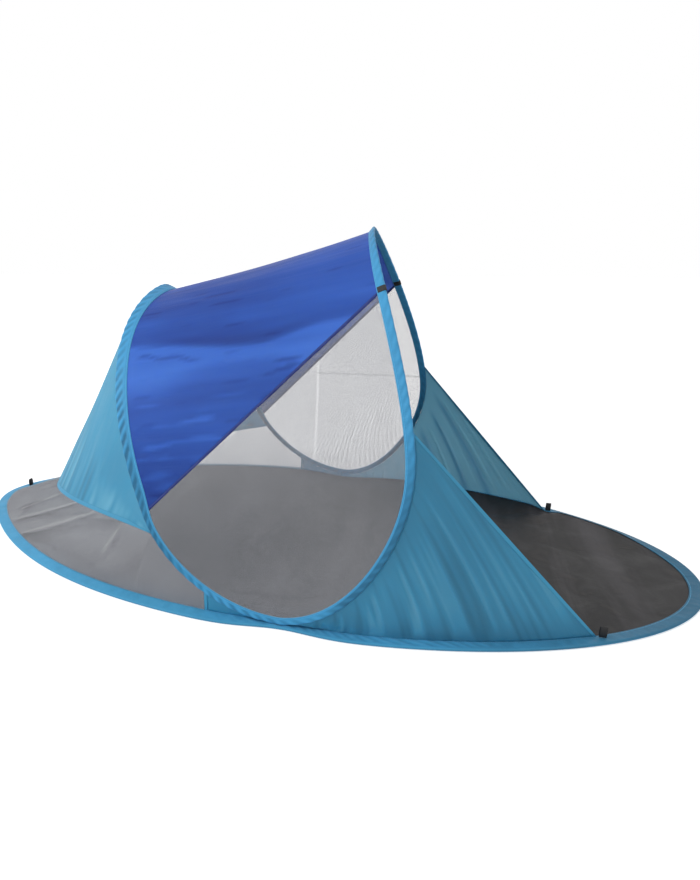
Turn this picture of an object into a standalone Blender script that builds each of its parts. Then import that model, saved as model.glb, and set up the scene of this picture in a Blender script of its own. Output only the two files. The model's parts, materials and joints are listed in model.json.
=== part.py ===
"""Pop-up beach tent: two spring steel hoops in fabric sleeves, sewn together where they cross.

One hoop lies on the ground and holds the floor. The other stands over it as two leaning
arches that carry the roof, the mesh windows, the closed end and the two wings of the porch.
Metres, +Z up, +X towards the open end, +Y towards the back. The origin is on the ground
below the middle of the tent. The tent folds about the line through the two crossings.
"""
import math

import bmesh
import bpy
from mathutils import Matrix, Vector

# Floor hoop, outer size of its binding
FLOOR_LENGTH = 2.300
FLOOR_WIDTH = 1.164
CLOSED_TIP_TAPER_SHARE = 0.28
TIP_TAPER_POWER = 4
CROSSING_X = 0.078
CROSSING_PINCH = 0.020
PINCH_REACH = 0.110

# Arch hoop, its wire's centre line, heights above the ground and reaches from the crossing
OPEN_ARCH_HEIGHT = 0.946
OPEN_APEX_X = 0.120
OPEN_BELLY_X = 0.287
OPEN_BELLY_HEIGHT = 0.400
CLOSED_ARCH_HEIGHT = 0.786
CLOSED_APEX_X = -0.527
CLOSED_KNEE_X = -0.369
CLOSED_KNEE_HEIGHT = 0.243
ARCH_INSET = 0.00917
ARCH_ROUND_POWER = 0.60
BEND_REACH = 0.040

# Handles of each branch's two curves, as shares of its belly or knee, the last of its apex
OPEN_HANDLE_SHARES = ((0.59, 0.060), (1.01, 0.62), (1.0, 1.38), (1.38, 0.877))
CLOSED_HANDLE_SHARES = ((0.43, 0.050), (0.83, 0.49), (1.245, 1.73), (1.09, 0.84))

# Steel wire, the crimped tube that joins its ends, and the fabric sleeves
WIRE_RADIUS = 0.0019
FERRULE_WALL = 0.0003
FERRULE_LENGTH = 0.030
SLEEVE_WALL = 0.0008
SLEEVE_SLOT = 0.0018
BINDING_WIDTH = 0.030
CROSSING_SLEEVE_WIDTH = 0.024
OPEN_SLEEVE_WIDTH = 0.021
CLOSED_SLEEVE_WIDTH = 0.032
APEX_DIP_SHARE = 0.65
APEX_DIP_POWER = 12

# Fabric panels
PANEL_THICKNESS = 0.0010
FLOOR_THICKNESS = 0.0010
ROOF_SAG_SHARE = 0.012
ROOF_OPEN_DROP = 0.146
ROOF_CLOSED_HEIGHT = 0.245
HEM_CORNER_HEIGHT = 0.190
HEM_X = -0.985
HEM_HEIGHT = 0.070
HEM_EASE_POWER = 1.5
HEM_SIDE_POWER = 0.65
HEM_DROP_POWER = 1.6
GUSSET_REACH = 0.200
WING_TOP_HEIGHT = 0.500
WING_FOOT_X = 0.735
WING_FOLD_DEPTH = 0.007
WING_FOLD_COUNT = 3
SKIRT_FOLD_DEPTH = 0.004
SKIRT_FOLD_COUNT = 7
FOLD_FADE_POWER = 0.5
EDGE_INSET = 0.002

# Webbing loops for the pegs and webbing straps on the open arch
WEBBING_THICKNESS = 0.0012
WEBBING_WIDTH = 0.016
LOOP_HEIGHT = 0.029
LOOP_GAP = 0.0084
CLOSED_LOOP_Y = 0.078
LOOP_STANDOFF = 0.012
LOOP_SETBACK = 0.022
STRAP_LENGTH = 0.013

# Clearances between sewn pieces
SEAM_GAP = 0.0003
PANEL_GAP = 0.0008
WIRE_END_GAP = 0.0046

# Where the crimped tubes sit, in steps from the rear end of the floor wire and from the apex
FLOOR_FERRULE_STEP = 5
ARCH_FERRULE_STEP = 4

# Resolution
ARCH_STEPS = 24
BEND_STEPS = 8
RING_STEPS = 36
PATH_SAMPLES = 400
WIRE_SIDES = 6
CAP_POINTS = 5
LOOP_SIDES = 20
END_STEPS = 6
SKIRT_STEPS = 5
WING_STEPS = 12
GUSSET_STEPS = 2

# Sizes that follow from the ones above
CAP_ANGLE = math.pi / (CAP_POINTS - 1)
FERRULE_RADIUS = WIRE_RADIUS + SEAM_GAP + FERRULE_WALL
CHANNEL_RADIUS = (FERRULE_RADIUS + SEAM_GAP) / math.cos(CAP_ANGLE / 2)
SLEEVE_RADIUS = CHANNEL_RADIUS + SLEEVE_WALL
BINDING_HEIGHT = 2 * SLEEVE_RADIUS
FLAP_HEIGHT = SLEEVE_SLOT + 2 * SLEEVE_WALL
FLAP_SLOPE = (BINDING_HEIGHT - FLAP_HEIGHT) / BINDING_WIDTH
PANEL_FOOT_HEIGHT = FLAP_HEIGHT + FLAP_SLOPE * EDGE_INSET + SEAM_GAP + PANEL_THICKNESS / 2
ARCH_FOOT_HEIGHT = BINDING_HEIGHT + SEAM_GAP + SLEEVE_RADIUS
ARCH_HALF_WIDTH = FLOOR_WIDTH / 2 - SLEEVE_RADIUS - CROSSING_PINCH - ARCH_INSET

UP = Vector((0, 0, 1))
BACK = Vector((0, 1, 0))
ONWARD = Vector((1, 0, 0))


class Station:
    """A place on a hoop: its wire's centre, its direction, and the way to the sewn seam."""

    def __init__(self, point, along, inward, width):
        self.point = point
        self.along = along
        self.inward = inward
        self.width = width

    def side(self):
        return self.along.cross(self.inward).normalized()

    def seam(self, gap):
        return self.point + self.inward * (self.width + gap)

    def mirrored(self):
        along = Vector((-self.along.x, self.along.y, -self.along.z))
        inward = Vector((self.inward.x, -self.inward.y, self.inward.z))
        point = Vector((self.point.x, -self.point.y, self.point.z))
        return Station(point, along, inward, self.width)

    def turned(self):
        return Station(self.point, -self.along, self.inward, self.width)

    def moved(self, distance):
        return Station(self.point + self.along * distance, self.along, self.inward, self.width)


def flip(point):
    return Vector((point.x, -point.y, point.z))


def square_to(direction, along):
    return (direction - along * direction.dot(along)).normalized()


def resample(points, count):
    """The polyline at count + 1 points that are equally far apart along it."""
    lengths = [0.0]
    for a, b in zip(points, points[1:]):
        lengths.append(lengths[-1] + (b - a).length)
    return [point_at(points, lengths, lengths[-1] * i / count) for i in range(count + 1)]


def point_at(points, lengths, distance):
    for i in range(1, len(points)):
        if lengths[i] >= distance or i == len(points) - 1:
            part = (distance - lengths[i - 1]) / (lengths[i] - lengths[i - 1])
            return points[i - 1].lerp(points[i], min(max(part, 0.0), 1.0))


def bezier(a, b, c, d, t):
    s = 1 - t
    return a * s ** 3 + b * (3 * s * s * t) + c * (3 * s * t * t) + d * t ** 3


# Materials


def material(name, colour, roughness, metallic=0.0):
    made = bpy.data.materials.new(name)
    made.use_nodes = True
    shader = made.node_tree.nodes["Principled BSDF"]
    shader.inputs["Base Color"].default_value = (*colour, 1.0)
    shader.inputs["Roughness"].default_value = roughness
    shader.inputs["Metallic"].default_value = metallic
    return made


ROYAL_BLUE = (0.045, 0.085, 0.42)
SKY_BLUE = (0.075, 0.34, 0.62)
SHADE_BLUE = (0.085, 0.27, 0.42)
FLOOR_GREY = (0.065, 0.065, 0.070)
MESH_WHITE = (0.62, 0.62, 0.62)
WEBBING_BLACK = (0.012, 0.012, 0.014)
STEEL = (0.45, 0.45, 0.46)


# Mesh builders


def finish(name, mesh_builder, look):
    bmesh.ops.recalc_face_normals(mesh_builder, faces=mesh_builder.faces)
    if mesh_builder.calc_volume(signed=True) < 0:
        bmesh.ops.reverse_faces(mesh_builder, faces=mesh_builder.faces)
    mesh = bpy.data.meshes.new(name)
    mesh_builder.to_mesh(mesh)
    mesh_builder.free()
    made = bpy.data.objects.new(name, mesh)
    made.data.materials.append(look)
    bpy.context.scene.collection.objects.link(made)
    return made


def place_section(station, section):
    """A flat section at a station: how far in towards the seam, and how far up the side."""
    side = station.side()
    return [station.point + station.inward * d + side * n for d, n in section]


def first_ring(build, places):
    ring = [build.verts.new(place) for place in places]
    for a, b in zip(ring, ring[1:] + ring[:1]):
        build.edges.new((a, b))
    return ring


def ring_edges(build, ring):
    return [build.edges.get((a, b)) for a, b in zip(ring, ring[1:] + ring[:1])]


def carry(build, ring, places):
    """Extrude a closed ring of edges to new places and return the new ring in the same order."""
    extruded = bmesh.ops.extrude_edge_only(build, edges=ring_edges(build, ring))["geom"]
    partner = {}
    for vert in extruded:
        if isinstance(vert, bmesh.types.BMVert):
            for edge in vert.link_edges:
                partner[edge.other_vert(vert)] = vert
    moved = [partner[vert] for vert in ring]
    for vert, place in zip(moved, places):
        vert.co = place
    return moved


def split_run(station, ring, moved):
    """Halve each new face from its corner nearest the seam, so that twisted walls stay apart."""
    depths = [(vert.co - station.point).dot(station.inward) for vert in ring]
    for here in range(len(ring)):
        ahead = (here + 1) % len(ring)
        near, far = (here, ahead) if depths[here] > depths[ahead] else (ahead, here)
        face = next(f for f in ring[near].link_faces if moved[far] in f.verts)
        bmesh.utils.face_split(face, ring[near], moved[far])


def carry_along(build, stations, section):
    """The first and last ring of a section that is carried along the stations."""
    first = first_ring(build, place_section(stations[0], section(stations[0].width)))
    last = first
    for before, station in zip(stations, stations[1:]):
        moved = carry(build, last, place_section(station, section(station.width)))
        split_run(before, last, moved)
        last = moved
    return first, last


def sweep(name, stations, section, look):
    build = bmesh.new()
    for end in carry_along(build, stations, section):
        build.faces.new(end)
    return finish(name, build, look)


def sheet(columns):
    """A grid laid through columns of points."""
    build = bmesh.new()
    rows = len(columns[0])
    bmesh.ops.create_grid(build, x_segments=rows - 1, y_segments=len(columns) - 1)
    build.verts.ensure_lookup_table()
    for i, points in enumerate(columns):
        for j, point in enumerate(points):
            build.verts[i * rows + j].co = point
    bmesh.ops.remove_doubles(build, verts=build.verts, dist=SEAM_GAP / 10)
    return build


def cloth(name, build, look):
    """A panel with its thickness half to each side, halved first so that both sides match."""
    bmesh.ops.triangulate(build, faces=build.faces)
    thicken(finish(name, build, look), PANEL_THICKNESS)


def thicken(made, thickness):
    solid = made.modifiers.new("thickness", "SOLIDIFY")
    solid.thickness = thickness
    solid.offset = 0.0


def hexagon(radius):
    turn = 2 * math.pi / WIRE_SIDES
    return [(radius * math.cos(turn * i), radius * math.sin(turn * i)) for i in range(WIRE_SIDES)]


def wire_section(width):
    return hexagon(WIRE_RADIUS)


def cap(radius):
    """The round back of a sleeve, about the wire from one flap to the other."""
    angles = [math.pi / 2 + CAP_ANGLE * i for i in range(CAP_POINTS)]
    return [(radius * math.cos(a), radius * math.sin(a)) for a in angles]


def pocket(reach, radius, top, bottom):
    """A line round the wire that runs from the end of one flap to the end of the other."""
    return [(reach, top)] + cap(radius) + [(reach, bottom)]


def sleeve_section(width):
    outer, inner = SLEEVE_SLOT / 2 + SLEEVE_WALL, SLEEVE_SLOT / 2
    outside = pocket(width, SLEEVE_RADIUS, outer, -outer)
    return outside + list(reversed(pocket(width, CHANNEL_RADIUS, inner, -inner)))


def strap_section(width):
    """Webbing round the outside of a sleeve, short of its seam."""
    inner = SLEEVE_SLOT / 2 + SLEEVE_WALL + SEAM_GAP
    outer, radius = inner + WEBBING_THICKNESS, SLEEVE_RADIUS + SEAM_GAP
    reach = width - SLEEVE_WALL
    outside = pocket(reach, radius + WEBBING_THICKNESS, outer, -outer)
    return outside + list(reversed(pocket(reach, radius, inner, -inner)))


def binding_section(width):
    """A sleeve whose lower flap lies flat on the ground and whose upper flap slopes to it."""
    outside = pocket(width, SLEEVE_RADIUS, FLAP_HEIGHT - SLEEVE_RADIUS, -SLEEVE_RADIUS)
    slot_top = SLEEVE_WALL + SLEEVE_SLOT - SLEEVE_RADIUS
    inside = pocket(width, CHANNEL_RADIUS, slot_top, -CHANNEL_RADIUS)
    return outside + list(reversed(inside))


# The floor hoop


def ring_point(angle):
    """The floor hoop's wire, from the open tip at zero round to the closed tip at pi."""
    half_length = FLOOR_LENGTH / 2 - SLEEVE_RADIUS
    half_width = FLOOR_WIDTH / 2 - SLEEVE_RADIUS
    x = half_length * math.cos(angle)
    taper = 1 - CLOSED_TIP_TAPER_SHARE * max(0.0, -math.cos(angle)) ** TIP_TAPER_POWER
    pinch = CROSSING_PINCH * math.exp(-((x - CROSSING_X) / PINCH_REACH) ** 2)
    y = math.sin(angle) * (half_width * taper - pinch)
    return Vector((x, y, SLEEVE_RADIUS))


def ring_stations(open_end):
    """One half of the floor hoop, from its front end at the fold line to its rear end."""
    half_length = FLOOR_LENGTH / 2 - SLEEVE_RADIUS
    shift = SEAM_GAP / 2 if open_end else -SEAM_GAP / 2
    start = math.acos((CROSSING_X + shift) / half_length)
    first, last = (-start, start) if open_end else (-start, start - 2 * math.pi)
    samples = [ring_point(first + (last - first) * i / PATH_SAMPLES) for i in range(PATH_SAMPLES + 1)]
    points = resample(samples, RING_STEPS)
    turn = 1 if open_end else -1
    stations = []
    for i, point in enumerate(points):
        if i in (0, RING_STEPS):
            along = Vector((turn if i == 0 else -turn, 0, 0))
        else:
            along = (points[i + 1] - points[i - 1]).normalized()
        inward = UP.cross(along) * turn
        stations.append(Station(point, along * turn, inward, BINDING_WIDTH))
    return stations


def make_floor(open_end, name_end):
    stations = ring_stations(open_end)
    sweep("floor_binding_" + name_end, stations, binding_section, SKY)
    sweep("floor_wire_" + name_end, stations, wire_section, METAL)
    build = bmesh.new()
    outline = [s.seam(SEAM_GAP) for s in stations]
    low = [build.verts.new((p.x, p.y, 0)) for p in outline]
    face = build.faces.new(low)
    top = bmesh.ops.extrude_face_region(build, geom=[face])
    moved = [v for v in top["geom"] if isinstance(v, bmesh.types.BMVert)]
    bmesh.ops.translate(build, verts=moved, vec=UP * FLOOR_THICKNESS)
    finish("floor_sheet_" + name_end, build, GREY)
    return stations


def seam_line(open_end):
    """The line on the front half of the binding where the walls are sewn down."""
    half = ring_stations(open_end)[: RING_STEPS // 2 + 1]
    line = [s.point + s.inward * (s.width - EDGE_INSET) for s in half]
    return [Vector((p.x, p.y, PANEL_FOOT_HEIGHT)) for p in line]


def seam_between(line, first_x, last_x, count):
    """count + 1 equally spaced places on a seam line, from one X position to another."""
    samples = resample(line, PATH_SAMPLES)
    low, high = min(first_x, last_x), max(first_x, last_x)
    kept = [p for p in samples if low <= p.x <= high]
    if abs(kept[0].x - first_x) > abs(kept[-1].x - first_x):
        kept.reverse()
    return resample(kept, count)


# The arch hoop


def arch_path(open_end):
    """Wire samples of one branch in front, from the crossing up to the apex."""
    top = OPEN_ARCH_HEIGHT if open_end else CLOSED_ARCH_HEIGHT
    foot = Vector((0, 0, ARCH_FOOT_HEIGHT))
    if open_end:
        mid = Vector((OPEN_BELLY_X, 0, OPEN_BELLY_HEIGHT))
        apex = Vector((OPEN_APEX_X, 0, top))
        handles = OPEN_HANDLE_SHARES
    else:
        mid = Vector((CLOSED_KNEE_X, 0, CLOSED_KNEE_HEIGHT))
        apex = Vector((CLOSED_APEX_X, 0, top))
        handles = CLOSED_HANDLE_SHARES
    (ax, az), (bx, bz), (cx, cz), (dx, dz) = handles
    low = [foot, Vector((mid.x * ax, 0, mid.z * az)), Vector((mid.x * bx, 0, mid.z * bz)), mid]
    high = [mid, Vector((mid.x * cx, 0, mid.z * cz)), Vector((apex.x * dx, 0, apex.z * dz)), apex]
    path = []
    for i in range(PATH_SAMPLES + 1):
        eased = 1 - (1 - i / PATH_SAMPLES) ** 2
        part = eased * 2
        point = bezier(*low, part) if part <= 1 else bezier(*high, part - 1)
        share = min(point.z / top, 1.0)
        y = -ARCH_HALF_WIDTH * (1 - share * share) ** ARCH_ROUND_POWER
        path.append(Vector((CROSSING_X + point.x, y, point.z)))
    return path


def beyond_bend(point):
    return abs(point.x - CROSSING_X) >= BEND_REACH


def arch_stations():
    """Front stations of the arch hoop: closed branch, bend at the crossing, open branch."""
    closed_path, open_path = arch_path(False), arch_path(True)
    closed = resample([p for p in closed_path if beyond_bend(p)], ARCH_STEPS)
    opened = resample([p for p in open_path if beyond_bend(p)], ARCH_STEPS)
    near = [p for p in reversed(closed_path) if not beyond_bend(p)]
    far = [p for p in open_path[1:] if not beyond_bend(p)]
    bend = resample([closed[0]] + near + far + [opened[0]], BEND_STEPS)
    points = list(reversed(closed)) + bend[1:-1] + opened
    last = len(points) - 1
    along = [-BACK] + [(points[i + 1] - points[i - 1]).normalized() for i in range(1, last)] + [BACK]
    first_bend, last_bend = ARCH_STEPS, ARCH_STEPS + BEND_STEPS
    stations = []
    for i, point in enumerate(points):
        if i <= first_bend or i >= last_bend:
            other = points[last - i]
            top = CLOSED_ARCH_HEIGHT if i <= first_bend else OPEN_ARCH_HEIGHT
            dip = APEX_DIP_SHARE * (point.z / top) ** APEX_DIP_POWER
            inward = square_to((other - point).normalized() - UP * dip, along[i])
            rise = abs(i - (first_bend if i <= first_bend else last_bend)) / ARCH_STEPS
            wide = CLOSED_SLEEVE_WIDTH if i <= first_bend else OPEN_SLEEVE_WIDTH
            width = CROSSING_SLEEVE_WIDTH + (wide - CROSSING_SLEEVE_WIDTH) * rise
        else:
            inward, width = None, CROSSING_SLEEVE_WIDTH
        stations.append(Station(point, along[i], inward, width))
    start, end = stations[first_bend].inward, stations[last_bend].inward
    for i in range(first_bend + 1, last_bend):
        part = (i - first_bend) / BEND_STEPS
        stations[i].inward = square_to(start.lerp(end, part), stations[i].along)
    return stations


def make_arch(stations):
    closed = stations[: ARCH_STEPS + 1]
    bend = stations[ARCH_STEPS: ARCH_STEPS + BEND_STEPS + 1]
    opened = [s.turned() for s in reversed(stations[ARCH_STEPS + BEND_STEPS:])]
    for name_end, front in (("closed_end", closed), ("open_end", opened)):
        trimmed = front[:-1] + [front[-1].moved(-SEAM_GAP)]
        half = over_the_top(trimmed)
        sweep("arch_sleeve_" + name_end, half, sleeve_section, SKY)
    for side, name_side in ((1, "front"), (-1, "rear")):
        run = bend if side == 1 else [s.mirrored() for s in bend]
        sweep("arch_sleeve_bend_" + name_side, run, sleeve_section, SKY)
    make_arch_wires(closed, bend, opened)
    return closed, opened


def over_the_top(front):
    """Front stations from an apex down, turned into one run from front foot to rear foot."""
    climb = [s.turned() for s in reversed(front)]
    descent = [s.mirrored() for s in climb[:-1]]
    return climb + list(reversed(descent))


def make_arch_wires(closed, bend, opened):
    """Each half of the arch hoop's wire ends inside the bend of the sleeve, short of the fold."""
    middle = BEND_STEPS // 2
    back = [s.turned() for s in reversed(bend)]
    for name_end, front, inner in (("closed_end", closed, bend), ("open_end", opened, back)):
        before, crossing = inner[middle - 1], inner[middle]
        reach = (crossing.point - before.point).length
        part = 1 - WIRE_END_GAP / 2 / reach
        end = Station(before.point.lerp(crossing.point, part), before.along, before.inward, before.width)
        half = over_the_top(front + inner[1:middle] + [end])
        sweep("arch_wire_" + name_end, half, wire_section, METAL)


def part_way(a, b, part):
    """A station on the straight run from one station to the next."""
    along = a.along.lerp(b.along, part).normalized()
    inward = square_to(a.inward.lerp(b.inward, part), along)
    width = a.width + (b.width - a.width) * part
    return Station(a.point.lerp(b.point, part), along, inward, width)


def short_run(a, b, length):
    """Two stations the given length apart, about the middle of the run from a to b."""
    half = length / 2 / (b.point - a.point).length
    return [part_way(a, b, 0.5 - half), part_way(a, b, 0.5 + half)]


def make_ferrule(name, a, b):
    build = bmesh.new()
    wall_middle = hexagon(FERRULE_RADIUS - FERRULE_WALL / 2)
    carry_along(build, short_run(a, b, FERRULE_LENGTH), lambda width: wall_middle)
    thicken(finish(name, build, METAL), FERRULE_WALL)


# Panels


def nearest_height(stations, height):
    return min(range(len(stations)), key=lambda i: abs(stations[i].point.z - height))


def canopy_row(a, b, along):
    """A line of canopy from the closed arch to the open one, sagging a little to the inside."""
    middle = (a + b) / 2
    sag = square_to(along.cross(b - a), (b - a).normalized())
    if sag.dot(Vector((middle.x, 0, 0)) - middle) < 0:
        sag = -sag
    depth = (b - a).length * ROOF_SAG_SHARE
    parts = [i / BEND_STEPS for i in range(BEND_STEPS + 1)]
    return [a.lerp(b, t) + sag * depth * 4 * t * (1 - t) for t in parts]


def make_canopy(closed, opened, bend):
    """One saddle between the arches, cut along a slope into the roof and two side windows."""
    front = [canopy_row(c.seam(SEAM_GAP), o.seam(SEAM_GAP), c.along) for c, o in zip(closed, opened)]
    front[0] = [Vector((p.x, 0, p.z)) for p in front[0]]
    front[-1] = [s.seam(SEAM_GAP) for s in bend]
    rear = [[flip(p) for p in row] for row in front]
    whole = list(reversed(front)) + rear[1:]
    high = opened[nearest_height(opened, OPEN_ARCH_HEIGHT - ROOF_OPEN_DROP)].point
    low = closed[nearest_height(closed, ROOF_CLOSED_HEIGHT)].point
    slope = Vector((high.x - low.x, 0, high.z - low.z)).normalized()
    above = Vector((-slope.z, 0, slope.x))
    cut_canopy("roof_panel", whole, low, above, ROYAL)
    cut_canopy("window_front", front, low, -above, MESH)
    cut_canopy("window_rear", rear, low, -above, MESH)


def cut_canopy(name, rows, place, kept_side, look):
    build = sheet(rows)
    geometry = list(build.verts) + list(build.edges) + list(build.faces)
    edge = place + kept_side * PANEL_GAP / 2
    bmesh.ops.bisect_plane(build, geom=geometry, plane_co=edge, plane_no=kept_side,
                           dist=SEAM_GAP / 10, clear_inner=True)
    cloth(name, build, look)


def edge_away(station, target):
    """The place beside the sleeve's round back where a panel towards the target is sewn."""
    direction = square_to(target - station.point, station.along)
    return station.point + direction * (SLEEVE_RADIUS + SEAM_GAP)


def hem_point(corner, part):
    """The lower hem of the closed end, from its corner on the sleeve to the middle."""
    eased = 1 - (1 - part) ** HEM_EASE_POWER
    centre_x = CROSSING_X + HEM_X
    x = corner.x + (centre_x - corner.x) * eased
    y = corner.y * (1 - eased) ** HEM_SIDE_POWER
    z = corner.z + (HEM_HEIGHT - corner.z) * eased ** HEM_DROP_POWER
    return Vector((x, y, z))


def mirror_columns(columns):
    """Columns that end on the middle plane, carried on to the back."""
    return columns + [[flip(p) for p in column] for column in reversed(columns[:-1])]


def column(top, foot, rows):
    return [top.lerp(foot, i / rows) for i in range(rows + 1)]


def make_closed_end(closed, line):
    corner_step = nearest_height(closed, HEM_CORNER_HEIGHT)
    gusset_step = min(range(len(closed)), key=lambda i: abs(closed[i].point.x - CROSSING_X + GUSSET_REACH))
    arch_run = closed[: corner_step + 1]
    corner_station = closed[corner_step]
    ring_feet = seam_between(line, line[-1].x, closed[gusset_step].point.x, gusset_step)
    corner = edge_away(corner_station, ring_feet[corner_step])
    hems = [hem_point(corner, 1 - i / corner_step) for i in range(corner_step + 1)]
    hems[0].y = 0
    panel = []
    for station, hem in zip(arch_run, hems):
        top = edge_away(station, hem) if station is not corner_station else corner
        panel.append(column(top, hem, END_STEPS))
    panel[0] = [Vector((p.x, 0, p.z)) for p in panel[0]]
    panel[-1] = [corner] * (END_STEPS + 1)
    cloth("end_panel", sheet(mirror_columns(list(reversed(panel)))), SKY_SHADE)
    tops = []
    for i in range(gusset_step + 1):
        if i <= corner_step:
            toward = (ring_feet[i] - hems[i]).normalized()
            tops.append(hems[i] + toward * PANEL_GAP)
        else:
            tops.append(edge_away(closed[i], ring_feet[i]))
    tops[0].y = 0
    skirt = [column(t, f, SKIRT_STEPS) for t, f in zip(tops, ring_feet)]
    skirt[0] = [Vector((p.x, 0, p.z)) for p in skirt[0]]
    fold_sheet(skirt, SKIRT_FOLD_DEPTH, SKIRT_FOLD_COUNT)
    cloth("mesh_skirt", sheet(mirror_columns(list(reversed(skirt)))), MESH)
    make_gussets(closed, gusset_step, ring_feet[-1], line)


def make_gussets(closed, first, foot, line):
    seam_x = foot.x + PANEL_GAP
    run = closed[first: ARCH_STEPS]
    feet = seam_between(line, seam_x, run[-1].point.x, len(run) - 1)
    columns = []
    for i, (station, low) in enumerate(zip(run, feet)):
        top = edge_away(station, low)
        if i == 0:
            top = top.lerp(edge_away(run[1], feet[1]), PANEL_GAP / (run[1].point - station.point).length)
        columns.append(column(top, low, GUSSET_STEPS))
    cloth("gusset_front", sheet(columns), SKY_SHADE)
    cloth("gusset_rear", sheet([[flip(p) for p in c] for c in columns]), SKY_SHADE)


def fold_sheet(columns, depth, folds):
    """Tension folds that run from top to foot and fade out at every edge."""
    across, down = len(columns) - 1, len(columns[0]) - 1
    normals = {}
    for i in range(1, across):
        for j in range(1, down):
            wide = columns[i + 1][j] - columns[i - 1][j]
            tall = columns[i][j + 1] - columns[i][j - 1]
            normals[i, j] = wide.cross(tall).normalized()
    for (i, j), normal in normals.items():
        part, drop = i / across, j / down
        fade = math.sin(math.pi * part) ** FOLD_FADE_POWER * math.sin(math.pi * drop)
        columns[i][j] = columns[i][j] + normal * depth * fade * math.sin(2 * math.pi * folds * part)


def make_wings(opened, line):
    top_step = nearest_height(opened, WING_TOP_HEIGHT)
    run = opened[top_step: ARCH_STEPS]
    count = len(run) - 1
    feet = seam_between(line, CROSSING_X + WING_FOOT_X, run[-1].point.x, count)
    columns = [column(edge_away(s, f), f, WING_STEPS) for s, f in zip(run, feet)]
    fold_sheet(columns, WING_FOLD_DEPTH, WING_FOLD_COUNT)
    cloth("wing_front", sheet(columns), SKY_SHADE)
    cloth("wing_rear", sheet([[flip(p) for p in c] for c in columns]), SKY_SHADE)
    return feet[0]


# Webbing


def make_loop(name, place, across):
    """A peg loop: webbing bent to a tall ellipse, which folds over about the top of its foot."""
    build = bmesh.new()
    rim = bmesh.ops.create_circle(build, radius=1, segments=LOOP_SIDES)["verts"]
    edges = list({edge for vert in rim for edge in vert.link_edges})
    made = bmesh.ops.extrude_edge_only(build, edges=edges)["geom"]
    far = [v for v in made if isinstance(v, bmesh.types.BMVert)]
    bmesh.ops.translate(build, verts=far, vec=UP)
    outward = across.cross(UP) * (LOOP_GAP - WEBBING_THICKNESS) / 2
    rise = UP * (LOOP_HEIGHT - WEBBING_THICKNESS) / 2
    width = across * WEBBING_WIDTH
    shape = Matrix((outward, rise, width)).transposed().to_4x4()
    shape.translation = UP * (LOOP_HEIGHT - LOOP_GAP) / 2 - width / 2
    bmesh.ops.transform(build, matrix=shape, verts=build.verts)
    loop = finish(name, build, BLACK)
    thicken(loop, WEBBING_THICKNESS)
    loop.location = place


def loop_place(station, across):
    """The fold of a peg loop that stands on the sloping flap of the binding."""
    place = station.point + station.inward * (BINDING_WIDTH - LOOP_STANDOFF)
    uphill = LOOP_STANDOFF + abs(across.dot(station.inward)) * WEBBING_WIDTH / 2
    seat = FLAP_HEIGHT + FLAP_SLOPE * uphill + SEAM_GAP
    return Vector((place.x, place.y, seat + LOOP_GAP / 2))


def station_at(stations, axis, value):
    """The station where a coordinate of the wire first takes a value."""
    for a, b in zip(stations, stations[1:]):
        if (a.point[axis] - value) * (b.point[axis] - value) <= 0:
            return part_way(a, b, (value - a.point[axis]) / (b.point[axis] - a.point[axis]))


def make_loops(wing_foot, closed_ring, open_ring):
    tip = station_at(closed_ring[RING_STEPS // 2:], 1, CLOSED_LOOP_Y)
    make_loop("peg_loop_closed_end", loop_place(tip, BACK), BACK)
    foot = station_at(open_ring, 0, wing_foot.x + LOOP_SETBACK)
    make_loop("peg_loop_front", loop_place(foot, ONWARD), ONWARD)
    make_loop("peg_loop_rear", flip(loop_place(foot, ONWARD)), ONWARD)


def make_straps(opened):
    step = nearest_height(opened, OPEN_ARCH_HEIGHT - ROOF_OPEN_DROP)
    above, middle, below = opened[step - 1: step + 2]
    start = 1 - STRAP_LENGTH / 2 / (middle.point - above.point).length
    end = STRAP_LENGTH / 2 / (below.point - middle.point).length
    run = [part_way(above, middle, start), middle, part_way(middle, below, end)]
    sweep("roof_strap_front", run, strap_section, BLACK)
    sweep("roof_strap_rear", [s.mirrored() for s in run], strap_section, BLACK)


def hang_on_fold():
    """The open half turns about the line through the crossings, on top of the floor binding."""
    axis = bpy.data.objects.new("fold_axis", None)
    axis.location = (CROSSING_X, 0, BINDING_HEIGHT)
    bpy.context.scene.collection.objects.link(axis)
    for name in OPEN_HALF:
        piece = bpy.data.objects[name]
        piece.parent = axis
        piece.location = piece.location - axis.location


OPEN_HALF = (
    "floor_binding_open_end", "floor_wire_open_end", "floor_wire_ferrule", "floor_sheet_open_end",
    "arch_sleeve_open_end", "arch_wire_open_end", "wing_front", "wing_rear",
    "peg_loop_front", "peg_loop_rear", "roof_strap_front", "roof_strap_rear",
)

for old in list(bpy.data.objects):
    bpy.data.objects.remove(old)

SKY = material("sky_blue_binding", SKY_BLUE, 0.55)
SKY_SHADE = material("sky_blue_polyester", SHADE_BLUE, 0.6)
ROYAL = material("royal_blue_polyester", ROYAL_BLUE, 0.35)
GREY = material("coated_floor", FLOOR_GREY, 0.4)
MESH = material("fine_mesh", MESH_WHITE, 0.8)
BLACK = material("black_webbing", WEBBING_BLACK, 0.7)
METAL = material("spring_steel", STEEL, 0.3, 1.0)

closed_ring = make_floor(False, "closed_end")
open_ring = make_floor(True, "open_end")
arch = arch_stations()
bend = arch[ARCH_STEPS: ARCH_STEPS + BEND_STEPS + 1]
closed_branch, open_branch = make_arch(arch)
make_canopy(closed_branch, open_branch, bend)
make_closed_end(closed_branch, seam_line(False))
wing_corner = make_wings(open_branch, seam_line(True))
make_loops(wing_corner, closed_ring, open_ring)
make_straps(open_branch)
make_ferrule("floor_wire_ferrule", *open_ring[-FLOOR_FERRULE_STEP:][:2])
make_ferrule("arch_wire_ferrule", *closed_branch[ARCH_FERRULE_STEP:][:2])
hang_on_fold()
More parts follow.
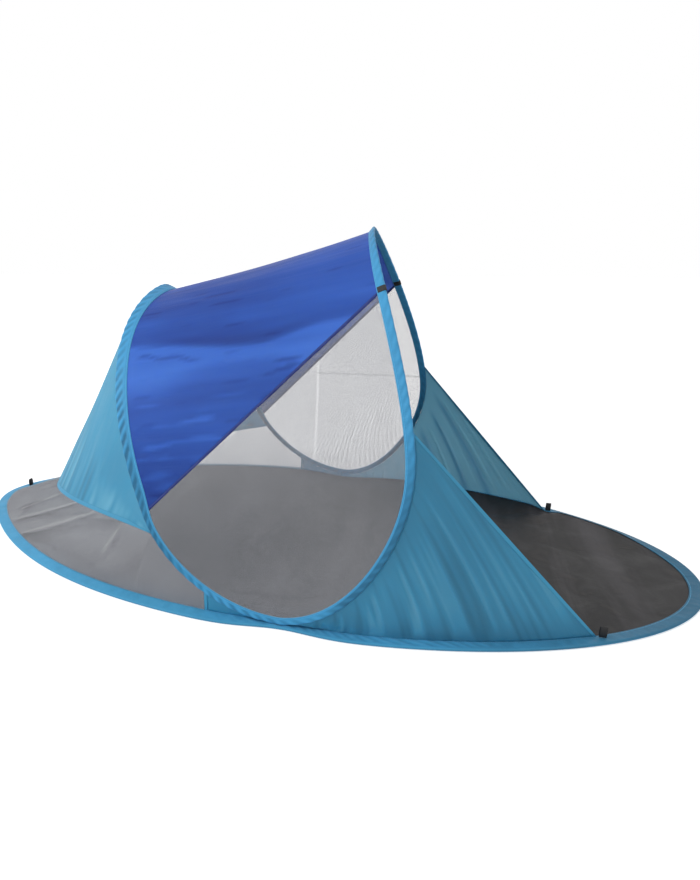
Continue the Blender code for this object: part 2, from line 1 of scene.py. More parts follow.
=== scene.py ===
"""Looks of the pop-up beach tent: its cloth, mesh, webbing and steel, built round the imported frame."""
import json
import math
from functools import lru_cache

import bmesh
import bpy
from bpy.props import FloatProperty, FloatVectorProperty, PointerProperty
from mathutils import Matrix, Vector, noise


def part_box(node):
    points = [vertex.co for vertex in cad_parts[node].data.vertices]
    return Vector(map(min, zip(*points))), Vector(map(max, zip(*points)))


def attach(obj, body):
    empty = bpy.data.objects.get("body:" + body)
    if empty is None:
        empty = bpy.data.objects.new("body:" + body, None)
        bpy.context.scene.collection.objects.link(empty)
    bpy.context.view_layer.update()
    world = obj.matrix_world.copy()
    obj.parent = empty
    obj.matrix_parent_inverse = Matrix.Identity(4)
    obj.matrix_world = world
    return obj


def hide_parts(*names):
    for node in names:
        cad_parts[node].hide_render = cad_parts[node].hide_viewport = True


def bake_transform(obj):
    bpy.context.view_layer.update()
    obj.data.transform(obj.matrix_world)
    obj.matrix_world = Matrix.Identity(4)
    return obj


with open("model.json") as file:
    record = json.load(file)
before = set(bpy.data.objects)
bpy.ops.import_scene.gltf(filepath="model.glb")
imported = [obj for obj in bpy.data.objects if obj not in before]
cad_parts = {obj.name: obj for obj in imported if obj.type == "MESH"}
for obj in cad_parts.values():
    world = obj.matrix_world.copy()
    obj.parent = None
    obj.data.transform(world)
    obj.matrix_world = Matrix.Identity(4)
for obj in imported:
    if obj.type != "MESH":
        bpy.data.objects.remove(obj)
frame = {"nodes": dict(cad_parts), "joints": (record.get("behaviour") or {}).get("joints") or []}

bl_info = {
    "name": "Beach Tent",
    "version": (1, 0, 0),
    "blender": (4, 5, 0),
    "location": "View3D > Sidebar > Tent",
    "description": "Builds the cloth, mesh, webbing and steel of a pop-up beach tent",
    "category": "Add Mesh",
}

# Shape of the hoops, their sleeves and the panels' edges, in metres, as in the part's source
FLOOR_LENGTH = 2.300
FLOOR_WIDTH = 1.164
CLOSED_TIP_TAPER_SHARE = 0.28
TIP_TAPER_POWER = 4
CROSSING_X = frame["joints"][0]["pos_m"][0]
CROSSING_PINCH = 0.020
PINCH_REACH = 0.110
OPEN_ARCH_HEIGHT = 0.946
OPEN_APEX_X = 0.120
OPEN_BELLY_X = 0.287
OPEN_BELLY_HEIGHT = 0.400
CLOSED_ARCH_HEIGHT = 0.786
CLOSED_APEX_X = -0.527
CLOSED_KNEE_X = -0.369
CLOSED_KNEE_HEIGHT = 0.243
ARCH_INSET = 0.00917
ARCH_ROUND_POWER = 0.60
BEND_REACH = 0.040
OPEN_HANDLE_SHARES = ((0.59, 0.060), (1.01, 0.62), (1.0, 1.38), (1.38, 0.877))
CLOSED_HANDLE_SHARES = ((0.43, 0.050), (0.83, 0.49), (1.245, 1.73), (1.09, 0.84))
SLEEVE_RADIUS = 0.00383
BINDING_WIDTH = 0.030
LOW_SLEEVE_WIDTH = 0.015
OPEN_SLEEVE_WIDTH = 0.019
KNEE_SLEEVE_WIDTH = 0.024
CLOSED_SLEEVE_WIDTH = 0.032
SEAM_RISE = 0.009
APEX_DIP_SHARE = 0.65
APEX_DIP_POWER = 12
ROOF_SAG_SHARE = 0.012
ROOF_OPEN_DROP = 0.146
ROOF_CLOSED_HEIGHT = 0.245
HEM_CORNER_HEIGHT = 0.190
HEM_X = -0.985
HEM_HEIGHT = 0.088
HEM_EASE_POWER = 1.5
HEM_SIDE_POWER = 0.65
HEM_DROP_POWER = 1.3
GUSSET_REACH = 0.200
WING_TOP_HEIGHT = 0.500
WING_FOOT_X = 0.735
EDGE_INSET = 0.002
BINDING_HEIGHT = 2 * SLEEVE_RADIUS
ARCH_FOOT_HEIGHT = BINDING_HEIGHT + 0.0003 + SLEEVE_RADIUS
ARCH_HALF_WIDTH = FLOOR_WIDTH / 2 - SLEEVE_RADIUS - CROSSING_PINCH - ARCH_INSET

# Cloth, as it is sewn
WALL = 0.0007
SLOT = 0.0010
PANEL = 0.0006
TUCK = 0.006
FLAP_TOP = 0.0032
FOOT_BITE = 0.0002
SLEEVE_CLEAR = 0.0002
FLOOR_EDGE_GAP = 0.0005
ROOF_CUT_GAP = 0.0004
SKIRT_TOP_GAP = 0.0006
TAPE_OVER = 0.005
TAPE_UNDER = 0.0015
TAPE_DEPTH = 0.0020
END_HEM_WIDTH = 0.018
WING_HEM_WIDTH = 0.009
SKIRT_SEAM_WIDTH = 0.008
HEM_DEPTH = 0.0018
BINDING_STITCH = 0.0042
SLEEVE_STITCH = 0.0040
HEM_PLACES = (-0.04, 0.0, 0.5, 0.9, 1.0)
HEM_TONES = (-0.25, 0.0, 0.0, 0.0, -0.45)
END_HEM_STEPS = 7
WING_HEM_STEPS = 4
SKIRT_SEAM_STEPS = 2
WEBBING_THICKNESS = 0.0012
STRAP_WIDTH = 0.0175
STRAP_SETBACK = 0.002
STRAP_CLEAR = 0.0010
STRAP_RISE = 0.0023

# Threads: their spacings, and the cells and covered shares of the nets
THREAD_SPACING = 0.0008
FLOOR_THREAD_SPACING = 0.0012
RIB_SPACING = 0.0016
HERRINGBONE_SPACING = 0.0022
WINDOW_CELL = 0.0016
WINDOW_THREAD = 0.066
SKIRT_CELL = 0.0014
SKIRT_THREAD = 0.088

# Folds and wrinkles, the rows of the roof's painted bands of light, the rear wing's darker lines, and the
# lines where the rear window was pressed flat
ROPE_PITCH = 0.033
ROPE_SLANT = 1.5
ROPE_WANDER = 6.0
FLOOR_LIFT_REACH = 0.10
STREAK_LEAN = 0.18
ROOF_BAND_TOP = 41
ROOF_BAND_FOOT = 57
ROOF_SECOND_BAND = 31
REAR_WING_LINES = (0.09, 0.20, 0.33)
PRESSED_X = -0.0674
PRESSED_LEAN = -0.0699
PRESSED_HEIGHT = 0.449
PRESSED_START_X = -0.04

# The skirt's foot steps with the hem steps that the pulled cloth joins to them,
# and its tight folds, each by its foot step, its share of the skirt's height and its strength
SKIRT_JOINS = ((0, 0), (24, 36), (31, 57), (44, 73), (86, 90))
SKIRT_PULLS = ((24, 0.80, 0.9), (31, 0.93, 1.0), (44, 0.97, 1.0), (84, 0.53, 0.6))

# Grids, in steps: those of the hoops are multiples of the part's own
COARSE_ARCH = 24
FINER = 6
ARCH_STEPS = COARSE_ARCH * FINER
BEND_STEPS = 48
RING_STEPS = 720
PATH_SAMPLES = 1600
CAP_STEPS = 8
EDGE_STEPS = 4
FOOT_STEPS = 6
FLOOR_RINGS = 60
PANEL_ROWS = 40
SKIRT_ROWS = 40
GUSSET_ROWS = 10
WING_ROWS = 70
LOOP_STEPS = 48

# Camera and lamp, fitted to the photograph
CAMERA_PLACE = (0.3856, -1.722, 0.85)
CAMERA_AIM = (-0.2688, 0.9176, -0.2926)
CAMERA_SENSOR = 36
CAMERA_LENS = 23.53
CAMERA_SHIFT = 0.0966
LAMP_PLACE = (-1.9, -1.6, 2.2)
LAMP_TARGET = (0.0, 0.0, 0.4)
LAMP_POWER = 34.0
LAMP_SIZE = 1.5
GROUND_SIZE = 40
GROUND_DROP = 0.0005
SKY_STRENGTH = 0.62
GROUND_GLOW = 0.52

UP = Vector((0, 0, 1))
BACK = Vector((0, 1, 0))
WHITE = (1.0, 1.0, 1.0, 1.0)
SIDES = ("front", "rear")
LOOP_BODIES = {"peg_loop_closed_end": "closed_end_loop", "peg_loop_front": "front_loop",
               "peg_loop_rear": "rear_loop"}


# Hoop curves


class Station:
    """A place on a hoop: its wire's centre, its direction, and the way to the sewn seam."""

    def __init__(self, point, along, inward, width, share=0.0, run=0.0, rise=0.0):
        self.point = point
        self.along = along
        self.inward = inward
        self.width = width
        self.share = share
        self.run = run
        self.rise = rise

    def side(self):
        return self.along.cross(self.inward).normalized()

    def reach(self, distance):
        return self.point + self.inward * distance

    def seam(self, gap=0.0):
        return self.reach(self.width + gap)

    def mirrored(self):
        along = Vector((-self.along.x, self.along.y, -self.along.z))
        return Station(flip(self.point), along, flip(self.inward), self.width, self.share, self.run)

    def between(self, other):
        """The station halfway to the next one."""
        along = (self.along + other.along).normalized()
        inward = square_to(self.inward + other.inward, along)
        return Station((self.point + other.point) / 2, along, inward, (self.width + other.width) / 2,
                       (self.share + other.share) / 2, (self.run + other.run) / 2)


def flip(point):
    return Vector((point.x, -point.y, point.z))


def flipped(rows):
    return [[flip(point) for point in row] for row in rows]


def centred(points):
    """The points moved onto the middle plane."""
    return [Vector((point.x, 0, point.z)) for point in points]


def joined(front, rear):
    """Rows from the front to the middle and on to the rear, out of two that start in the middle."""
    return list(reversed(front)) + rear[1:]


def each(rows, value):
    """value(i, j) for each point of a grid."""
    return [[value(i, j) for j in range(len(row))] for i, row in enumerate(rows)]


def refined(stations):
    """The stations with one more halfway between each two."""
    made = stations[:1]
    for before, after in zip(stations, stations[1:]):
        made += [before.between(after), after]
    return made


def even_shares(stations, count):
    """Each station's share of the fold for a row of count points."""
    return [[station.share] * count for station in stations]


def smooth(value, low, high):
    """A soft step from 0 at low to 1 at high."""
    part = min(max((value - low) / (high - low), 0.0), 1.0)
    return part * part * (3 - 2 * part)


def plateau(value, low, full, fading, gone):
    """A soft step up from low to full, and down again from fading to gone."""
    return smooth(value, low, full) * (1 - smooth(value, fading, gone))


def bell(value, centre, width):
    """A soft hill of height 1 round a centre."""
    return math.exp(-((value - centre) / width) ** 2)


def arc(part, power):
    """0 at both ends of the way from 0 to 1, and 1 halfway, blunter for a lower power."""
    return math.sin(math.pi * min(max(part, 0.0), 1.0)) ** power


def soft(*place):
    """Soft noise between -1 and 1."""
    return noise.noise(Vector(place))


def patches(low, high, *place):
    """1 where the soft noise is over high, and 0 where it is under low."""
    return smooth(soft(*place), low, high)


def square_to(direction, along):
    return (direction - along * direction.dot(along)).normalized()


def resample(points, count):
    """The polyline at count + 1 points that are equally far apart along it."""
    lengths = [0.0]
    for a, b in zip(points, points[1:]):
        lengths.append(lengths[-1] + (b - a).length)
    made, at = [], 0
    for i in range(count + 1):
        distance = lengths[-1] * i / count
        while at < len(points) - 2 and lengths[at + 1] < distance:
            at += 1
        part = (distance - lengths[at]) / (lengths[at + 1] - lengths[at])
        made.append(points[at].lerp(points[at + 1], min(max(part, 0.0), 1.0)))
    return made


def bezier(a, b, c, d, t):
    s = 1 - t
    return a * s ** 3 + b * (3 * s * s * t) + c * (3 * s * t * t) + d * t ** 3


def ring_point(angle):
    """The floor hoop's wire, from the open tip at zero round to the closed tip at pi."""
    x = (FLOOR_LENGTH / 2 - SLEEVE_RADIUS) * math.cos(angle)
    taper = 1 - CLOSED_TIP_TAPER_SHARE * max(0.0, -math.cos(angle)) ** TIP_TAPER_POWER
    pinch = CROSSING_PINCH * bell(x, CROSSING_X, PINCH_REACH)
    y = math.sin(angle) * ((FLOOR_WIDTH / 2 - SLEEVE_RADIUS) * taper - pinch)
    return Vector((x, y, SLEEVE_RADIUS))


@lru_cache(maxsize=None)
def peg_places():
    """Where the peg loops stand, turned to the rear."""
    boxes = [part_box(node) for node in LOOP_BODIES]
    return [((low.x + high.x) / 2, abs(low.y + high.y) / 2) for low, high in boxes]


def seam_rise(point):
    """How far the walls lift the binding's inner edge: little in front, at crossings and at pegs."""
    beyond = point.x - CROSSING_X
    if beyond < 0:
        part = 1.0
    elif point.y < 0:
        part = (1 - 0.7 * smooth(beyond, 0.0, 0.15)) * (1 - smooth(point.x, 0.75, 0.85))
    else:
        part = (1 + 0.6 * smooth(beyond, 0.10, 0.30)) * (1 - smooth(point.x, 0.98, 1.14))
    part *= 1 - 0.8 * bell(beyond, 0.0, 0.12)
    for x, y in peg_places():
        part *= 1 - 0.6 * bell(math.hypot(point.x - x, abs(point.y) - y), 0.0, 0.03)
    return SEAM_RISE * part


@lru_cache(maxsize=None)
def ring_stations():
    """The whole floor hoop, once round from the open tip."""
    turn = 2 * math.pi / PATH_SAMPLES
    points = resample([ring_point(turn * i) for i in range(PATH_SAMPLES + 1)], RING_STEPS)[:-1]
    step = (points[1] - points[0]).length
    made = []
    for i, point in enumerate(points):
        along = (points[(i + 1) % RING_STEPS] - points[i - 1]).normalized()
        inward = UP.cross(along)
        rise = seam_rise(point + inward * BINDING_WIDTH)
        made.append(Station(point, along, inward, BINDING_WIDTH, fold_share(point.x), step * i, rise))
    return made


def arch_path(open_end):
    """Wire samples of one branch in front, from the crossing up to the apex."""
    foot = Vector((0, 0, ARCH_FOOT_HEIGHT))
    if open_end:
        top, shares = OPEN_ARCH_HEIGHT, OPEN_HANDLE_SHARES
        mid = Vector((OPEN_BELLY_X, 0, OPEN_BELLY_HEIGHT))
        apex = Vector((OPEN_APEX_X, 0, top))
    else:
        top, shares = CLOSED_ARCH_HEIGHT, CLOSED_HANDLE_SHARES
        mid = Vector((CLOSED_KNEE_X, 0, CLOSED_KNEE_HEIGHT))
        apex = Vector((CLOSED_APEX_X, 0, top))
    handles = [Vector((near.x * x, 0, near.z * z)) for near, (x, z) in zip((mid, mid, mid, apex), shares)]
    low, high = [foot, *handles[:2], mid], [mid, *handles[2:], apex]
    path = []
    for i in range(PATH_SAMPLES + 1):
        part = 2 * (1 - (1 - i / PATH_SAMPLES) ** 2)
        point = bezier(*low, part) if part <= 1 else bezier(*high, part - 1)
        share = min(point.z / top, 1.0)
        y = -ARCH_HALF_WIDTH * (1 - share * share) ** ARCH_ROUND_POWER
        path.append(Vector((CROSSING_X + point.x, y, point.z)))
    return path


def beyond_bend(point):
    return abs(point.x - CROSSING_X) >= BEND_REACH


def fold_share(x):
    """How far a place near the crossing turns with the open half."""
    return min(max((x - CROSSING_X + BEND_REACH) / (2 * BEND_REACH), 0.0), 1.0)


def sleeve_width(point, closed_side):
    """The arch sleeve's width, which grows where the canopy pulls on it."""
    if closed_side:
        knee = (KNEE_SLEEVE_WIDTH - LOW_SLEEVE_WIDTH) * smooth(point.z, 0.20, 0.30)
        crown = (CLOSED_SLEEVE_WIDTH - KNEE_SLEEVE_WIDTH) * smooth(point.z, 0.30, 0.60)
        return LOW_SLEEVE_WIDTH + knee + crown
    swell = smooth(point.z, 0.25, 0.50) - smooth(point.z, 0.80, 0.94)
    return LOW_SLEEVE_WIDTH + (OPEN_SLEEVE_WIDTH - LOW_SLEEVE_WIDTH) * swell


@lru_cache(maxsize=None)
def arch_stations():
    """Front stations of the arch hoop: closed branch, bend at the crossing, open branch."""
    closed_path, open_path = arch_path(False), arch_path(True)
    closed = resample([p for p in closed_path if beyond_bend(p)], ARCH_STEPS)
    opened = resample([p for p in open_path if beyond_bend(p)], ARCH_STEPS)
    near = [p for p in reversed(closed_path) if not beyond_bend(p)]
    far = [p for p in open_path[1:] if not beyond_bend(p)]
    bend = resample([closed[0]] + near + far + [opened[0]], BEND_STEPS)
    points = list(reversed(closed)) + bend[1:-1] + opened
    last = len(points) - 1
    along = [-BACK] + [(points[i + 1] - points[i - 1]).normalized() for i in range(1, last)] + [BACK]
    first_bend, last_bend = ARCH_STEPS, ARCH_STEPS + BEND_STEPS
    stations, run = [], 0.0
    for i, point in enumerate(points):
        run += (point - points[i - 1]).length if i else 0.0
        if i <= first_bend or i >= last_bend:
            closed_side = i <= first_bend
            top = CLOSED_ARCH_HEIGHT if closed_side else OPEN_ARCH_HEIGHT
            dip = APEX_DIP_SHARE * (point.z / top) ** APEX_DIP_POWER
            inward = square_to((points[last - i] - point).normalized() - UP * dip, along[i])
            width = sleeve_width(point, closed_side)
        else:
            inward, width = None, LOW_SLEEVE_WIDTH
        stations.append(Station(point, along[i], inward, width, fold_share(point.x), run))
    start, end = stations[first_bend].inward, stations[last_bend].inward
    for i in range(first_bend + 1, last_bend):
        part = (i - first_bend) / BEND_STEPS
        stations[i].inward = square_to(start.lerp(end, part), stations[i].along)
    for i in list(range(first_bend)) + list(range(last_bend + 1, last + 1)):
        stations[i].share = 0.0 if i < first_bend else 1.0
    return stations


# Mesh builders


def grid(rows, places=None, shares=None, tones=None):
    """A grid through rows of points, each with its map place in metres, share of the fold and tone."""
    across = len(rows[0])
    build = bmesh.new()
    bmesh.ops.create_grid(build, x_segments=across - 1, y_segments=len(rows) - 1)
    build.verts.ensure_lookup_table()
    build.verts.index_update()
    places = places or measured(rows)
    uv = build.loops.layers.uv.new("cloth")
    layers = [build.verts.layers.float.new(name) for name in ("fold_share", "tone")]
    for i, row in enumerate(rows):
        for j, point in enumerate(row):
            vert = build.verts[i * across + j]
            vert.co = point
            for layer, values in zip(layers, (shares, tones)):
                vert[layer] = values[i][j] if values else 0.0
    for face in build.faces:
        for loop in face.loops:
            i, j = divmod(loop.vert.index, across)
            loop[uv].uv = places[i][j]
    bmesh.ops.remove_doubles(build, verts=build.verts, dist=1e-5)
    return build


def measured(rows):
    """Each point's distance along its row and down the grid's middle, in metres."""
    middle = len(rows[0]) // 2
    made, down = [], 0.0
    for i, row in enumerate(rows):
        if i:
            down += (row[middle] - rows[i - 1][middle]).length
        along, line = 0.0, []
        for j, point in enumerate(row):
            if j:
                along += (point - row[j - 1]).length
            line.append((along, down))
        made.append(line)
    return made


def pushed(rows, depth):
    """The grid with each point moved along the surface's normal by depth(i, j)."""
    last_i, last_j = len(rows) - 1, len(rows[0]) - 1
    made = []
    for i, row in enumerate(rows):
        line = []
        for j, point in enumerate(row):
            down = rows[min(i + 1, last_i)][j] - rows[max(i - 1, 0)][j]
            over = row[min(j + 1, last_j)] - row[max(j - 1, 0)]
            line.append(point + over.cross(down).normalized() * depth(i, j))
        made.append(line)
    return made


def mesh_from(name, build):
    mesh = bpy.data.meshes.new(name)
    build.to_mesh(mesh)
    build.free()
    return mesh


def placed(name, data):
    made = bpy.data.objects.new(name, data)
    bpy.context.scene.collection.objects.link(made)
    return made


def piece(name, build, material, thickness=0.0):
    """A smooth piece with its material, and the wall of its cloth where it has a thickness."""
    bmesh.ops.recalc_face_normals(build, faces=build.faces)
    for face in build.faces:
        face.smooth = True
    made = placed(name, mesh_from(name, build))
    made.data.materials.append(look(material))
    if thickness:
        wall = made.modifiers.new("wall", "SOLIDIFY")
        wall.thickness = thickness
        wall.offset = 0.0
    return made


def fold_between(made):
    """Bake the piece's placement into its mesh."""
    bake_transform(made)


def tube(name, stations, section, material):
    """A section carried round a hoop, mapped from its seam, with each point's share of the fold."""
    rows, places, tones = [], [], []
    total = stations[-1].run + (stations[1].run - stations[0].run)
    for number, station in enumerate(stations + stations[:1]):
        side = station.side()
        run = total if number == len(stations) else station.run
        line = section(station, run)
        row = [station.point + station.inward * depth + side * height for depth, height, _, _ in line]
        tone = [item[3] for item in line]
        rows.append(row + row[:1])
        places.append([(run, item[2]) for item in line] + [(run, line[-1][2] + WALL)])
        tones.append(tone + tone[:1])
    shares = even_shares(stations + stations[:1], len(rows[0]))
    made = piece(name, grid(rows, places, shares, tones), material)
    fold_between(made)
    return made


def ripple(run, mark, scale, seed):
    """Soft noise between -1 and 1 for a place on the cloth."""
    return soft(run * scale, mark * scale, seed)


def rope(run, round_wire):
    """Wrinkles that wind round a hoop like the strands of a rope, and wander a little."""
    wander = ROPE_WANDER * soft(run * 6, 0.1, 3.1)
    return math.sin(2 * math.pi * (run + ROPE_SLANT * abs(round_wire)) / ROPE_PITCH + wander)


def pocket_line(reach, radius, top, bottom, flap_steps):
    """A line round the wire from the end of one flap to the end of the other."""
    down = [Vector((reach * (1 - i / flap_steps), 0)) for i in range(flap_steps)]
    upper = [Vector((p.x, top + (radius - top) * (1 - p.x / reach))) for p in down]
    lower = [Vector((p.x, bottom + (-radius - bottom) * (1 - p.x / reach))) for p in reversed(down)]
    angles = [math.pi / 2 + math.pi * i / CAP_STEPS for i in range(CAP_STEPS + 1)]
    return upper + [Vector((radius * math.cos(a), radius * math.sin(a))) for a in angles] + lower


def pocket_section(reach, top, bottom, surface, flap_steps=8):
    """Both walls of a pocket as (depth, height, mark, tone).

    The mark is minus the way along the cloth to its seam. surface(round, share) gives the relief
    and the tone, where round is the way along the cloth from the wire's outer edge."""
    outside = pocket_line(reach, SLEEVE_RADIUS, top, bottom, flap_steps)
    inside = pocket_line(reach, SLEEVE_RADIUS - WALL, top - WALL, top - WALL - SLOT, flap_steps)
    marks = [0.0]
    for a, b in zip(outside, outside[1:]):
        marks.append(marks[-1] + (b - a).length)
    middle = marks[-1] / 2
    made = []
    for wall, order in ((outside, 1), (inside, -1)):
        for point, mark in list(zip(wall, marks))[::order]:
            away = Vector((0, 1 if mark < middle else -1)) if point.x > 0 else point.normalized()
            relief, tone = surface(mark - middle, point.x / reach)
            lifted = point + away * relief
            made.append((lifted.x, lifted.y, abs(mark - middle) - middle, tone))
    return made


def strip(name, edge, inner, width, shares=None):
    """A folded hem that laps over the cloth from its edge towards the inner points."""
    rows = []
    for a, b in zip(edge, inner):
        reach = min(width, 0.9 * (b - a).length)
        rows.append([a + (b - a).normalized() * (reach * part) for part in HEM_PLACES])
    spread = [[share] * len(HEM_PLACES) for share in shares] if shares else None
    build = grid(rows, shares=spread, tones=[HEM_TONES] * len(rows))
    return piece(name, build, "hem_cloth", HEM_DEPTH)


# Node trees


def add(tree, kind, inputs=None, **settings):
    """A node with its settings, and its inputs set to values or joined to sockets."""
    node = tree.nodes.new(kind)
    for key, value in settings.items():
        setattr(node, key, value)
    for key, value in (inputs or {}).items():
        if isinstance(value, bpy.types.NodeSocket):
            tree.links.new(value, node.inputs[key])
        else:
            node.inputs[key].default_value = value
    return node


def maths(tree, operation, a, b=0.0, c=0.0):
    return add(tree, "ShaderNodeMath", {0: a, 1: b, 2: c}, operation=operation).outputs[0]


def times(tree, a, b):
    return maths(tree, "MULTIPLY", a, b)


def apart(tree, a, b):
    """How far two values are from each other."""
    return maths(tree, "ABSOLUTE", maths(tree, "SUBTRACT", a, b))


def wave(tree, value, turn):
    return maths(tree, "SINE", times(tree, value, turn))


def axes(tree, place):
    return add(tree, "ShaderNodeSeparateXYZ", {0: place}).outputs


def clouds(tree, place, scale, detail=2.0, distortion=0.0):
    """A noise texture's value."""
    inputs = {"Vector": place, "Scale": scale, "Detail": detail, "Roughness": 0.5, "Distortion": distortion}
    return add(tree, "ShaderNodeTexNoise", inputs).outputs[0]


def mixed(tree, factor, a, b):
    return add(tree, "ShaderNodeMix", {0: factor, 6: a, 7: b}, data_type="RGBA").outputs[2]


def ramp(tree, value, low, high, to_low=0.0, to_high=1.0):
    inputs = {0: value, 1: low, 2: high, 3: to_low, 4: to_high}
    return add(tree, "ShaderNodeMapRange", inputs).outputs[0]


def group(name, inputs, outputs, fill):
    """A node group with its named sockets, built once."""
    if name in bpy.data.node_groups:
        return bpy.data.node_groups[name]
    tree = bpy.data.node_groups.new(name, "ShaderNodeTree")
    for key, kind, value in inputs:
        socket = tree.interface.new_socket(key, in_out="INPUT", socket_type=kind)
        if value is not None:
            socket.default_value = value
    for key in outputs:
        tree.interface.new_socket(key, in_out="OUTPUT", socket_type="NodeSocketFloat")
    source, sink = tree.nodes.new("NodeGroupInput"), tree.nodes.new("NodeGroupOutput")
    for key, socket in fill(tree, source.outputs).items():
        tree.links.new(socket, sink.inputs[key])
    return tree


def use(tree, made, inputs):
    return add(tree, "ShaderNodeGroup", inputs, node_tree=made).outputs


FLOAT, VECTOR = "NodeSocketFloat", "NodeSocketVector"


def weave_group():
    """Over and under threads of a plain weave, at a spacing in metres."""
    def fill(tree, given):
        split = axes(tree, given["Place"])
        turn = maths(tree, "DIVIDE", 2 * math.pi, given["Spacing"])
        both = times(tree, wave(tree, split[0], turn), wave(tree, split[1], turn))
        return {"Height": maths(tree, "MULTIPLY_ADD", both, 0.5, 0.5)}
    inputs = [("Place", VECTOR, None), ("Spacing", FLOAT, 0.001)]
    return group("plain_weave", inputs, ["Height"], fill)


def crease_group():
    """Long soft creases that run one way over the cloth, and a broad slow shading."""
    def fill(tree, given):
        place = add(tree, "ShaderNodeMapping", {0: given["Place"], 2: given["Turn"], 3: given["Scale"]})
        fine = clouds(tree, place.outputs[0], 1.0, 4.0, 0.4)
        return {"Height": fine, "Shade": ramp(tree, clouds(tree, given["Place"], 2.5), 0.3, 0.7)}
    inputs = [("Place", VECTOR, None), ("Turn", VECTOR, None), ("Scale", VECTOR, (10, 60, 10))]
    return group("long_creases", inputs, ["Height", "Shade"], fill)


def stitch_group():
    """One row of stitches at a mark across the cloth."""
    def fill(tree, given):
        off = apart(tree, given["Across"], given["Row"])
        line = ramp(tree, off, 0.0003, 0.0007, 1.0, 0.0)
        phase = maths(tree, "FRACT", maths(tree, "DIVIDE", given["Along"], given["Stitch"]))
        thread = times(tree, line, ramp(tree, apart(tree, phase, 0.5), 0.3, 0.42, 1.0, 0.0))
        channel = ramp(tree, off, 0.0004, 0.0022, 1.0, 0.0)
        height = maths(tree, "SUBTRACT", times(tree, thread, 0.6), channel)
        return {"Thread": thread, "Height": height, "Channel": channel}
    inputs = [("Along", FLOAT, 0.0), ("Across", FLOAT, 0.0), ("Row", FLOAT, 0.0), ("Stitch", FLOAT, 0.003)]
    return group("stitch_row", inputs, ["Thread", "Height", "Channel"], fill)


def net_group():
    """Threads of a fine knitted net: how much is covered, at a cell size in metres."""
    def fill(tree, given):
        split = axes(tree, given["Place"])
        lines = []
        for sign in (1.0, -1.0):
            slant = maths(tree, "MULTIPLY_ADD", split[1], sign, split[0])
            phase = maths(tree, "FRACT", maths(tree, "DIVIDE", slant, given["Cell"]))
            low, high = (maths(tree, "ADD", given["Thread"], blur) for blur in (-0.02, 0.02))
            lines.append(ramp(tree, apart(tree, phase, 0.5), low, high, 1.0, 0.0))
        return {"Cover": maths(tree, "MAXIMUM", *lines)}
    inputs = [("Place", VECTOR, None), ("Cell", FLOAT, 0.0016), ("Thread", FLOAT, 0.12)]
    return group("fine_net", inputs, ["Cover"], fill)


def scaled(colour, factor=1.0, lift=0.0):
    """The colour made darker or lighter, with its alpha."""
    return (*(min(c * factor + lift, 1.0) for c in colour), 1.0)


def new_look(name, colour, roughness=0.5, **values):
    """A material, its node tree, and its shader with the values set."""
    made = bpy.data.materials.new(name)
    made.use_nodes = True
    shader = made.node_tree.nodes["Principled BSDF"]
    values = {"Base_Color": scaled(colour), "Roughness": roughness, **values}
    for key, value in values.items():
        shader.inputs[key.replace("_", " ")].default_value = value
    return made, made.node_tree, shader


def feed(tree, shader, **sockets):
    """Join sockets to the inputs of the shader that have their names."""
    for key, socket in sockets.items():
        tree.links.new(socket, shader.inputs[key.replace("_", " ")])


def bump(tree, shader, *heights):
    """Bumps laid over each other, each a height socket, a depth in metres and a strength."""
    normal = None
    for height, distance, strength in heights:
        inputs = {"Height": height, "Distance": distance, "Strength": strength}
        if normal:
            inputs["Normal"] = normal
        normal = add(tree, "ShaderNodeBump", inputs).outputs[0]
    feed(tree, shader, Normal=normal)


def cloth_place(tree):
    return add(tree, "ShaderNodeUVMap", uv_map="cloth").outputs[0]


def object_place(tree):
    return add(tree, "ShaderNodeTexCoord").outputs["Object"]


def toned(tree, tint, darkest, lightest):
    """The colour made lighter or darker by the tone that the cloth's folds and edges carry: mostly painted
    light and shade, with a few seam lines and random changes.
    """
    tone = add(tree, "ShaderNodeAttribute", attribute_name="tone").outputs["Fac"]
    tint = mixed(tree, ramp(tree, tone, 0.0, 1.0), tint, lightest)
    return mixed(tree, ramp(tree, tone, 0.0, -1.0), tint, darkest)


